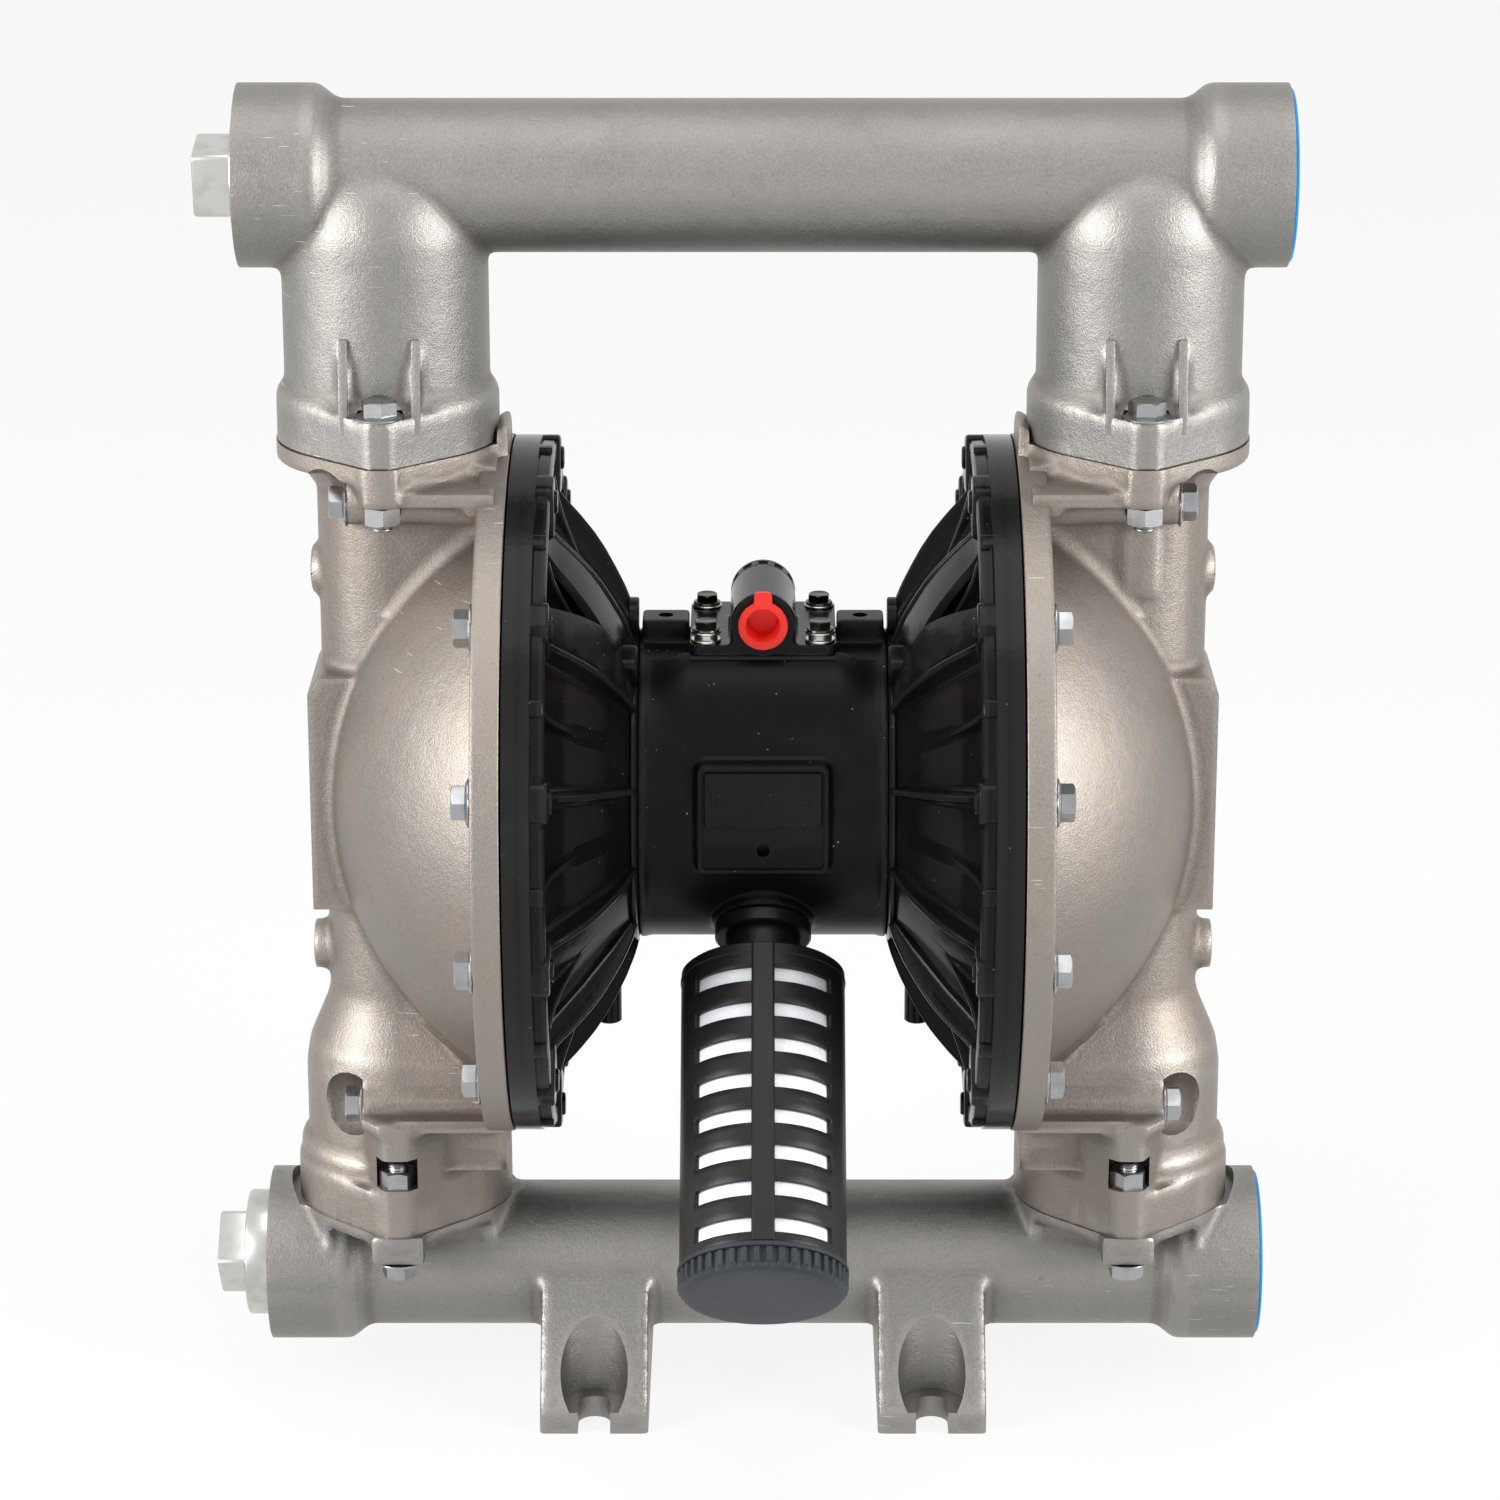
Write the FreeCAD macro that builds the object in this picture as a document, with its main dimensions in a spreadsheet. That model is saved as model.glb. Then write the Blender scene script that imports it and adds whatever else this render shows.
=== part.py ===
import FreeCAD, Part
import os
import re
import Sketcher
from FreeCAD import Placement, Rotation, Vector

# Air operated double diaphragm pump, 2 inch ports, in millimetres
# X runs along the manifolds, Y points to the back, Z is up
# The origin is on the floor, under the middle of the pump

SIZES = {
    # Overall places
    "manifold_span": (478, "face to face, inlet and outlet manifold"),
    "inlet_axis_height": (62, "floor to inlet manifold axis"),
    "inlet_joint_rise": (35, "inlet manifold axis to the inlet valve joint"),
    "ring_gap_low": (42.4, "inlet valve joint to the ring flange"),
    "ring_gap_high": (4.6, "ring flange to the outlet valve joint"),
    "outlet_axis_rise": (122.2, "outlet valve joint to the outlet manifold axis"),
    "column_offset": (173.5, "middle to valve column axis"),
    # Manifolds
    "boss_radius": (42, "threaded port boss"),
    "boss_length": (35, "threaded port boss"),
    "boss_flare": (12, "cone from boss to tube"),
    "tube_radius": (35, "manifold tube outside"),
    "tube_bore": (27, "manifold tube inside radius"),
    "riser_bore": (25, "passage up to an inlet valve, radius"),
    "thread_radius": (28.3, "2 inch pipe thread, minor radius"),
    "thread_depth": (28, "2 inch pipe thread depth"),
    "plug_thread_radius": (29, "thread filled by a pipe plug, pitch radius"),
    "port_chamfer": (3, "chamfer at the mouth of a port"),
    "elbow_radius": (47.5, "outlet elbow outside"),
    "elbow_wall": (9, "outlet elbow wall"),
    "elbow_rise": (96.2, "joint to the centre of the elbow cap"),
    "collar_radius": (51.5, "round part of the valve flanges"),
    "collar_height": (22, "valve flange on the outlet manifold"),
    "flange_depth": (14.4, "valve flange on the inlet manifold"),
    "ear_offset": (55, "valve bolt from the column axis"),
    "ear_radius": (10.5, "ear round the valve bolt"),
    "gusset_spacing": (33, "between the two ribs of an ear"),
    "gusset_width": (4, "ear rib thickness"),
    "gusset_height": (54, "joint to the top of an ear rib"),
    "saddle_half_width": (28, "middle of the saddle under the inlet flange"),
    "saddle_half_depth": (29.5, "middle of the saddle, front to back"),
    "wing_top": (49, "saddle wing at the flange, from the column axis"),
    "wing_foot": (34, "saddle wing at the tube, from the column axis"),
    "wing_half_depth": (33.5, "saddle wing, front to back"),
    "wing_height": (40, "saddle wing under the flange"),
    # Feet
    "foot_offset": (81, "middle to foot centre"),
    "foot_width": (52, "foot along the manifold"),
    "foot_half_depth": (75, "foot front to middle"),
    "foot_lip": (10.7, "foot thickness at the slots"),
    "foot_shoulder": (35, "half depth of the foot's top"),
    "foot_top": (66, "height of the foot's shoulder"),
    "foot_bolt_offset": (63.5, "foot slot centre from the middle"),
    "foot_slot_radius": (7.75, "foot slot, half width"),
    "foot_pocket_radius": (16.2, "room for a washer over the slot"),
    # Fluid covers
    "ring_radius": (165, "ring flange of the fluid cover"),
    "ring_start": (117, "inner face of the ring flange"),
    "cover_gap": (1, "air cover flange to the ring flange"),
    "ring_thickness": (13, "ring flange"),
    "dome_radius": (160.8, "outside of the fluid chamber"),
    "dome_center": (44.2, "middle to the centre of the dome"),
    "dome_wall": (7, "fluid chamber wall"),
    "column_radius": (34, "valve column"),
    "column_bore": (26, "valve column inside radius"),
    "top_flange_depth": (9, "valve flange at the column's top"),
    "top_ear_depth": (19, "ear at the column's top"),
    "bulb_radius": (46.5, "inlet ball chamber outside"),
    "bulb_bore": (32.5, "inlet ball chamber inside radius"),
    "bulb_shoulder": (76, "inlet joint to the widest end of the bulb"),
    "bulb_top": (108, "inlet joint to the neck"),
    "skirt_height": (31, "wide lower end of the bulb"),
    "ear_block_height": (54, "inlet ear block"),
    "window_low": (24, "inlet joint to the nut window"),
    "window_height": (15.4, "nut window"),
    "window_width": (19.6, "nut window"),
    "block_face": (212, "middle to the flat block's face"),
    "block_half_depth": (34, "flat block, half depth"),
    "block_drop": (52.4, "shaft axis down to the flat block's lower end"),
    "block_rise": (53.6, "shaft axis up to the flat block's top edge"),
    "block_slope": (9, "rise of the flat block's sloped top"),
    "shelf_thickness": (7.5, "shelf between ring flange and column"),
    "low_shelf_thickness": (11.5, "lower shelf between ring flange and column"),
    "end_block_depth": (12, "block where a shelf meets the ring"),
    "end_block_width": (16, "block where a shelf meets the ring, front to back"),
    "wall_reach": (19, "column axis to the outer edge of the ear wall"),
    "shelf_half_depth": (61, "shelf, half depth"),
    "bolt_edge": (11.5, "bolt circle to the rim of the ring flange"),
    "tube_boss_radius": (10.5, "tubular boss of the long bolts"),
    "tube_boss_end": (190, "middle to the long bolts' seat"),
    "drain_boss_drop": (81.4, "shaft axis down to the small round boss"),
    "drain_boss_radius": (11.8, "small round boss"),
    "pad_rise": (105.6, "shaft axis up to the middle of the small pad"),
    "pad_relief": (3.5, "small pad past the column"),
    "plate_pad_width": (16, "thin pad on the front of the right column"),
    "plate_pad_height": (32, "thin pad on the front of the right column"),
    "plate_pad_drop": (3, "thin pad's lower edge under the small pad's middle"),
    "plate_pad_relief": (1, "thin pad in front of the column"),
    "crown_radius": (178, "shaft axis to the top of the ring's tab"),
    "crown_half_width": (17, "tab on top of the ring, half width"),
    "crown_thickness": (4.4, "tab on top of the ring"),
    # Air covers and centre body
    "air_ring_step": (0.5, "air cover's flange inside the ring flange"),
    "air_ring_start": (104, "back of the air cover flange"),
    "lug_depth": (8.6, "bolt lug behind the flange"),
    "lug_radius": (10, "bolt lug"),
    "lug_reach": (19.5, "bolt circle to the inner end of a lug"),
    "rim_depth": (5, "rim band between the lugs"),
    "rim_width": (6.5, "rim band between the lugs"),
    "neck_radius": (75, "neck ring of the air cover"),
    "body_half_length": (58, "middle to the centre body's end"),
    "body_radius": (73.3, "centre body"),
    "fin_width": (5, "long fin of the air cover"),
    "short_fin_length": (30, "short fin between two lugs"),
    "short_fin_edge": (11.5, "bolt circle to the outer end of a short fin"),
    "air_wall": (6, "wall of the air cover"),
    "neck_block_length": (17, "block beside the neck ring"),
    "neck_block_width": (14, "block beside the neck ring"),
    "neck_block_radius": (89, "shaft axis to the block's top"),
    "neck_ear_offset": (82, "shaft axis to the ear above the neck"),
    "neck_ear_radius": (9, "ear above the neck"),
    "neck_ear_depth": (5, "ear above the neck"),
    "low_boss_offset": (74, "middle to the boss under the air cover"),
    "low_boss_radius": (6, "boss under the air cover"),
    "low_boss_reach": (121, "shaft axis to the end of the boss"),
    "panel_half_width": (30.5, "framed panel on the centre body"),
    "panel_drop": (20.4, "shaft axis down to the panel's lower edge"),
    "panel_rise": (32.1, "shaft axis up to the panel's top edge"),
    "panel_relief": (1.2, "panel in front of the body"),
    "panel_depth": (1.6, "hollow of the panel"),
    "panel_plate_height": (27, "raised plate in the panel"),
    "panel_plate_relief": (0.6, "raised plate in the panel"),
    "panel_plate_gap": (1.5, "raised plate to the frame"),
    "rivet_offset": (20.5, "middle to a rivet of the panel"),
    "rivet_radius": (1.6, "rivet of the panel"),
    "plug_hole_radius": (3, "small hole in the panel"),
    "plug_hole_depth": (6, "small hole in the panel"),
    "plug_hole_rise": (11, "panel's lower edge to the small hole"),
    "panel_frame": (2.4, "frame of the panel"),
    "body_lug_offset": (45.5, "middle to a top lug"),
    "body_lug_width": (22, "top lug"),
    "body_lug_half_depth": (10, "top lug"),
    "body_lug_rise": (82.6, "shaft axis to the top of a lug"),
    "body_lug_hole": (3.5, "hole in a top lug, radius"),
    "body_lug_hole_depth": (14, "hole in a top lug"),
    "deck_rise": (71.6, "shaft axis to the air valve's seat"),
    "deck_half_width": (34, "air valve's seat, along the pump"),
    "deck_half_depth": (36, "air valve's seat, front to back"),
    # Diaphragms, plates and shaft
    "diaphragm_edge": (7.2, "diaphragm's rim inside the bolt circle"),
    "bead_recess": (3.5, "groove for the diaphragm's bead"),
    "diaphragm_sheet": (3.6, "diaphragm thickness"),
    "bead_width": (11, "clamped bead"),
    "roll_height": (8, "height of the diaphragm's roll"),
    "plate_radius": (88, "outer diaphragm plate"),
    "inner_plate_radius": (80, "inner diaphragm plate"),
    "plate_thickness": (10, "diaphragm plates"),
    "hub_radius": (24, "boss of the outer plate"),
    "hub_height": (22, "boss of the outer plate"),
    "shaft_radius": (12.5, "diaphragm shaft"),
    "stud_radius": (8, "threaded end of the shaft"),
    "stroke": (14, "shaft travel each way"),
    "bushing_radius": (17, "shaft bushing outside"),
    "bushing_length": (14, "shaft bushing"),
    "seal_length": (6, "shaft seal"),
    "pilot_radius": (4, "pilot rod"),
    "pilot_travel": (4, "pilot rod travel each way"),
    "pilot_back": (32, "pilot rod behind the shaft"),
    "pilot_drop": (14, "pilot rod below the shaft"),
    # Valves
    "ball_radius": (29, "check ball"),
    "ball_lift": (14, "check ball travel"),
    "seat_radius": (43, "valve seat outside"),
    "seat_bore": (22, "valve seat inside radius"),
    "seat_low": (4, "seat below the joint"),
    "seat_high": (8, "seat above the joint"),
    "seat_lip": (1, "bottom of the seat's cone above the joint"),
    "ring_section": (1.6, "seat seal ring, section radius"),
    "stop_depth": (7, "rib that stops the ball"),
    "stop_width": (6, "rib that stops the ball"),
    "stop_bore": (12, "open middle of the stop ribs, radius"),
    # Air valve
    "gasket_thickness": (1.5, "air valve gasket"),
    "valve_base": (5.5, "air valve base plate"),
    "inlet_rise": (17, "air valve's seat to the air inlet axis"),
    "inlet_radius": (15.2, "air inlet barrel"),
    "inlet_front": (37, "middle to the air inlet's front face"),
    "inlet_back": (12, "middle to the barrel's back end"),
    "inlet_bore": (9.5, "air inlet thread, radius"),
    "inlet_depth": (18, "air inlet thread depth"),
    "feed_radius": (5, "air passage from the inlet to the spool"),
    "end_ring_length": (9, "ring at the barrel's back end"),
    "end_ring_wall": (4, "ring at the barrel's back end"),
    "end_notch_radius": (0.9, "notch of the ring at the barrel's back end"),
    "cap_flange_radius": (11.5, "red cap"),
    "cap_recess": (7.8, "red cap, hollow front, radius"),
    "cap_length": (14, "red cap inside the inlet"),
    "cap_tab_width": (8.6, "red cap's pull tab"),
    "valve_screw_x": (26.5, "air valve screw from the middle"),
    "valve_screw_y": (28.5, "air valve screw from the middle"),
    "valve_screw_radius": (3, "air valve screw"),
    "valve_head_radius": (5.5, "air valve screw head, corner radius"),
    "valve_head_height": (5, "air valve screw head"),
    "valve_washer_height": (1.2, "flat washer of an air valve screw"),
    "spring_washer_height": (2.6, "spring washer of a front air valve screw"),
    "spool_rise": (45.6, "shaft axis to the spool axis"),
    "sleeve_radius": (14, "spool sleeve outside"),
    "spool_radius": (10, "spool lands"),
    "spool_waist": (6, "spool between lands"),
    "spool_port_radius": (3, "port of the spool sleeve"),
    "spool_port_pitch": (12, "ports along the spool sleeve"),
    "spool_land": (10, "length of a spool land"),
    "spool_travel": (7, "spool travel each way"),
    "valve_plug_length": (8, "plug at each end of the sleeve"),
    # Muffler
    "nipple_radius": (17.5, "muffler nipple"),
    "exhaust_bore": (13, "exhaust passage radius"),
    "muffler_start": (100, "shaft axis to the muffler"),
    "muffler_radius": (38, "muffler cage"),
    "muffler_wall": (4, "muffler cage wall"),
    "muffler_roof": (7, "closed end of the cage at the nipple"),
    "muffler_bar_width": (11, "bar down the front of the cage"),
    "muffler_bar_relief": (1, "bar down the front of the cage"),
    "sleeve_gap": (1, "filter sleeve inside the cage"),
    "muffler_length": (147, "muffler cage"),
    "muffler_cap_length": (13, "muffler end cap"),
    "muffler_cap_step": (1, "end cap past the cage"),
    "grip_radius": (1.2, "grip groove of the end cap"),
    "slot_height": (7, "muffler slot"),
    "slot_pitch": (17.5, "muffler slot rows"),
    "slot_first": (13, "muffler's end to the first slot"),
    "slot_start_angle": (8, "slot from the front bar"),
    "slot_sweep": (47, "degrees of one slot"),
    "sleeve_wall": (7, "filter sleeve"),
    # Fasteners and plugs
    "bolt_radius": (5, "M10 bolts"),
    "bolt_head_width": (15, "across the flats"),
    "bolt_head_height": (6.5, "hexagon above its washer face"),
    "washer_radius": (11.2, "washer face"),
    "washer_height": (2, "washer face"),
    "nut_width": (16, "across the flats"),
    "nut_height": (8.4, "M10 nut"),
    "nut_chamfer": (1, "chamfer of a nut's crown"),
    "bolt_end": (2.5, "bolt past its nut or lug"),
    "plug_head_width": (30.5, "square head of a pipe plug"),
    "outlet_plug_head": (18, "square head outside the outlet boss"),
    "inlet_plug_collar": (12, "plug body outside the inlet boss"),
    "inlet_plug_head": (14, "square head of the inlet plug"),
    "plug_depth": (22, "plug inside its port"),
    "ring_guard_radius": (39.5, "guard ring on an open port"),
    "ring_guard_bore": (34, "guard ring, inside radius"),
    "ring_guard_thickness": (1.4, "guard ring"),
    # Fits
    "fit": (0.05, "radial clearance of running and screwed fits"),
    "clearance": (0.3, "gap between pieces that move"),
    "room": (1, "room round a bolt head or a flange"),
    "past": (1, "how far a cut or a rib runs past the face where it ends"),
}

# Places that follow from the sizes
PLACES = {
    "inlet_joint_height": "(inlet_axis_height + inlet_joint_rise)",
    "shaft_height": "(inlet_axis_height + inlet_joint_rise + ring_gap_low + ring_radius)",
    "outlet_joint_height":
        "(inlet_axis_height + inlet_joint_rise + ring_gap_low + 2 * ring_radius + ring_gap_high)",
    "outlet_axis_height": "(outlet_joint_height + outlet_axis_rise)",
    "block_low": "(shaft_height - block_drop)",
    "block_high": "(shaft_height + block_rise)",
    "drain_boss_height": "(shaft_height - drain_boss_drop)",
    "pad_height": "(shaft_height + pad_rise)",
    "cover_circle": "(ring_radius - bolt_edge)",
    "air_ring_radius": "(ring_radius - air_ring_step)",
    "diaphragm_radius": "(cover_circle - diaphragm_edge)",
    "lug_root": "(cover_circle - lug_reach)",
    "short_fin_high": "(cover_circle - short_fin_edge)",
    "short_fin_low": "(short_fin_high - short_fin_length)",
    "panel_low": "(shaft_height - panel_drop)",
    "panel_high": "(shaft_height + panel_rise)",
    "body_lug_top": "(shaft_height + body_lug_rise)",
    "deck_height": "(shaft_height + deck_rise)",
    "inlet_height": "(deck_height + inlet_rise)",
    "spool_height": "(shaft_height + spool_rise)",
}

document = FreeCAD.newDocument("DiaphragmPump")
sheet = document.addObject("Spreadsheet::Sheet", "Sizes")
for row, (alias, (value, meaning)) in enumerate(SIZES.items(), 1):
    sheet.set(f"A{row}", meaning)
    sheet.set(f"B{row}", str(value))
    sheet.setAlias(f"B{row}", alias)
document.recompute()

nodes = []

# A cylinder stands along Z, and these turn it along the other axes
TURNS = {
    "X": Rotation(Vector(0, 1, 0), 90),
    "Y": Rotation(Vector(1, 0, 0), -90),
    "Z": Rotation(),
}
SIDES = {"right": "1", "left": "-1"}
FRONT_BACK = ("-1", "1")
COVER_ANGLES = [15 + 30 * step for step in range(12)]
LONG_BOLT_ANGLES = [75, 105, 255, 285]
NECK_BLOCK_TURN = 30
GRIP_COUNT = 24
END_NOTCH_COUNT = 16
SLOT_ROWS = 8


def sized(text):
    """An expression with its places written out and the sheet's name before each of its values."""
    text = str(text)
    while any(word in PLACES for word in re.findall(r"[a-z_]+", text)):
        text = re.sub(r"[a-z_]+", lambda word: PLACES.get(word[0], word[0]), text)
    return re.sub(r"[a-z_]+", lambda word: f"Sizes.{word[0]}" if word[0] in SIZES else word[0], text)


def number(text):
    """The present value of an expression on the sheet."""
    return float(sheet.evalExpression(sized(text)))


def add(kind, **bound):
    """A new object, with its properties bound to expressions."""
    piece = document.addObject(kind, "Form")
    for path, text in bound.items():
        piece.setExpression(path, sized(text))
    return piece


def place(piece, x="0", y="0", z="0", turn=None):
    """Bind a piece's place, and turn it by a fixed rotation."""
    if turn is not None:
        piece.Placement = Placement(Vector(), turn)
    for path, text in zip("xyz", (x, y, z)):
        piece.setExpression(f"Placement.Base.{path}", sized(text))
    return piece


def along(axis, position, first, second):
    """The coordinates X, Y, Z of a place along an axis, off it by the two others."""
    order = {"X": (position, first, second), "Y": (first, position, second), "Z": (first, second, position)}
    return order[axis]


def block(x, y, z):
    """A box between pairs of expressions."""
    box = add("Part::Box", Length=f"({x[1]}) - ({x[0]})", Width=f"({y[1]}) - ({y[0]})",
              Height=f"({z[1]}) - ({z[0]})")
    return place(box, x[0], y[0], z[0])


def rod(axis, radius, start, end, first="0", second="0"):
    """A cylinder along an axis from start to end."""
    cylinder = add("Part::Cylinder", Radius=radius, Height=f"({end}) - ({start})")
    return place(cylinder, *along(axis, start, first, second), TURNS[axis])


def taper(axis, radius_one, radius_two, start, end, first="0", second="0"):
    """A cone along an axis from start to end."""
    cone = add("Part::Cone", Radius1=radius_one, Radius2=radius_two, Height=f"({end}) - ({start})")
    return place(cone, *along(axis, start, first, second), TURNS[axis])


def ball(radius, x, y, z):
    return place(add("Part::Sphere", Radius=radius), x, y, z)


def union(*pieces):
    joined = document.addObject("Part::MultiFuse", "Union")
    joined.Shapes = list(pieces)
    joined.Refine = True
    return joined


def minus(base, *tools):
    """The base without the tools."""
    cut = document.addObject("Part::Cut", "Cut")
    cut.Base = base
    cut.Tool = tools[0]
    if len(tools) > 1:
        cut.Tool = union(*tools)
        cut.Tool.Refine = False
    return cut


def both(first, second):
    common = document.addObject("Part::MultiCommon", "Common")
    common.Shapes = [first, second]
    return common


def group(*pieces):
    compound = document.addObject("Part::Compound", "Group")
    compound.Links = list(pieces)
    return compound


def mirrored(piece):
    """The same piece on the left side."""
    mirror = document.addObject("Part::Mirroring", "Mirror")
    mirror.Source = piece
    mirror.Normal = Vector(1, 0, 0)
    return mirror


def copy_at(piece, x="0", y="0", z="0", turn=Rotation()):
    """A linked copy of a prototype at a place of its own."""
    link = document.addObject("App::Link", "Copy")
    link.LinkedObject = piece
    return place(link, x, y, z, turn)


def node(piece, label):
    """Name a finished sub-part."""
    piece.Label = label
    nodes.append(piece)
    return piece


def outline(body, points, plane="XZ_Plane"):
    """A closed sketch of straight edges, each corner bound to the sheet."""
    sketch = body.newObject("Sketcher::SketchObject", "Outline")
    origin_plane = [item for item in body.Origin.OriginFeatures if item.Role == plane][0]
    sketch.AttachmentSupport = [(origin_plane, "")]
    sketch.MapMode = "FlatFace"
    corners = [Vector(number(across), number(up), 0) for across, up in points]
    count = len(corners)
    for index, corner in enumerate(corners):
        sketch.addGeometry(Part.LineSegment(corner, corners[(index + 1) % count]))
    for index in range(count):
        sketch.addConstraint(Sketcher.Constraint("Coincident", index, 2, (index + 1) % count, 1))
    for index, (across, up) in enumerate(points):
        for kind, text in (("DistanceX", across), ("DistanceY", up)):
            value = number(text)
            if value == 0:
                axis = -2 if kind == "DistanceX" else -1
                sketch.addConstraint(Sketcher.Constraint("PointOnObject", index, 1, axis))
                continue
            place_in_list = sketch.addConstraint(Sketcher.Constraint(kind, -1, 1, index, 1, value))
            sketch.setExpression(f"Constraints[{place_in_list}]", sized(text))
    return sketch


def turned(axis, points):
    """A revolved body: points are (along, radius) for X and (radius, along) for Z."""
    body = document.addObject("PartDesign::Body", "Turned")
    sketch = outline(body, points)
    revolution = body.newObject("PartDesign::Revolution", "Revolution")
    revolution.Profile = sketch
    revolution.ReferenceAxis = (sketch, ["H_Axis" if axis == "X" else "V_Axis"])
    revolution.Angle = 360
    return body


def slab(points, length, plane="XY_Plane"):
    """A body of even thickness: a flat outline, padded both ways from its plane."""
    body = document.addObject("PartDesign::Body", "Slab")
    sketch = outline(body, points, plane)
    pad = body.newObject("PartDesign::Pad", "Pad")
    pad.Profile = sketch
    pad.setExpression("Length", sized(length))
    if plane != "XY_Plane":
        pad.Midplane = True
    return body


def at_angle(angle, radius):
    """The coordinates Y and Z on a circle about the shaft."""
    return f"({radius}) * cos({angle})", f"shaft_height + ({radius}) * sin({angle})"


# Fasteners, each made once along Z with its seat at zero and its shank pointing up
def flange_bolt(length):
    """A bolt with a washer face: head below zero, shank above it."""
    head = add("Part::Prism", Circumradius="bolt_head_width / 2 / cos(30)", Height="bolt_head_height")
    head.Polygon = 6
    place(head, z="-(bolt_head_height + washer_height)")
    washer = taper("Z", "washer_radius - washer_height / 2", "washer_radius", "-washer_height", "0")
    return union(head, washer, rod("Z", "bolt_radius", "0", length))


def nut():
    """A hexagon nut from zero upwards."""
    hexagon = add("Part::Prism", Circumradius="nut_width / 2 / cos(30)", Height="nut_height")
    hexagon.Polygon = 6
    corner = "nut_width / 2 / cos(30)"
    shoulder = "nut_height - 3 * nut_chamfer"
    crown = taper("Z", corner, "nut_width / 2 - nut_chamfer", shoulder, "nut_height + nut_chamfer")
    lower = rod("Z", corner, "0", shoulder)
    thread = rod("Z", "bolt_radius + fit", "-past", "nut_height + 2 * past")
    return minus(both(hexagon, union(lower, crown)), thread)


FACE = "manifold_span / 2"
BALL_CENTER = "seat_lip + sqrt(ball_radius ^ 2 - seat_bore ^ 2) + clearance"
BALL_TOP = f"{BALL_CENTER} + ball_radius"
EAR_LEAN = "asin((collar_radius - ear_radius) / ear_offset)"


def valve_flange(start, height, round_radius="collar_radius"):
    """A round flange with two ears, front and back, on the right column."""
    corners = []
    for side_x, side_y in (("1", "1"), ("-1", "1"), ("-1", "-1"), ("1", "-1")):
        wide = (f"{side_x} * collar_radius * cos({EAR_LEAN})", f"{side_y} * collar_radius * sin({EAR_LEAN})")
        narrow = (f"{side_x} * ear_radius * cos({EAR_LEAN})",
                  f"{side_y} * (ear_offset + ear_radius * sin({EAR_LEAN}))")
        corners += [wide, narrow] if side_x == side_y else [narrow, wide]
    rhombus = place(slab(corners, height), "column_offset", "0", start)
    end = f"({start}) + ({height})"
    ears = [rod("Z", "ear_radius", start, end, "column_offset", f"{side} * ear_offset")
            for side in FRONT_BACK]
    return union(rhombus, rod("Z", round_radius, start, end, "column_offset"), *ears)


def valve_bolt_holes(start, end):
    return [rod("Z", "bolt_radius + fit", start, end, "column_offset", f"{side} * ear_offset")
            for side in FRONT_BACK]


def ball_stops(joint):
    """A cross of ribs that stops the ball, with an open middle."""
    low = f"{joint} + {BALL_TOP} + ball_lift + clearance"
    high = f"{low} + stop_depth"
    reach = "seat_radius"
    across = block((f"column_offset - {reach}", f"column_offset + {reach}"),
                   ("-stop_width / 2", "stop_width / 2"), (low, high))
    deep = block(("column_offset - stop_width / 2", "column_offset + stop_width / 2"),
                 (f"-({reach})", reach), (low, high))
    middle = rod("Z", "stop_bore", f"{low} - past", f"{high} + past", "column_offset")
    return minus(union(across, deep), middle)


def port_end(height):
    """A port boss with its flare, on the right."""
    boss = rod("X", "boss_radius", f"{FACE} - boss_length", FACE, "0", height)
    flare = taper("X", "tube_radius", "boss_radius", f"{FACE} - boss_length - boss_flare",
                  f"{FACE} - boss_length", "0", height)
    return union(boss, flare)


def port_bore(height, radius, *passages):
    """The tube's bore with a threaded port, its chamfer and the passages that join it, on the right."""
    bore = rod("X", "tube_bore", "-past", FACE, "0", height)
    thread = rod("X", radius, f"{FACE} - thread_depth", f"{FACE} + past", "0", height)
    chamfer = taper("X", radius, f"{radius} + port_chamfer + past", f"{FACE} - port_chamfer",
                    f"{FACE} + past", "0", height)
    return union(bore, thread, chamfer, *passages)


def with_ports(half, height, *passages):
    """Both halves of a manifold, with an open port on the right and a plugged one on the left."""
    opened = minus(union(half, mirrored(half)), port_bore(height, "thread_radius", *passages))
    opened.Refine = False
    both_open = minus(opened, mirrored(port_bore(height, "plug_thread_radius", *passages)))
    both_open.Refine = False
    return both_open


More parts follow.
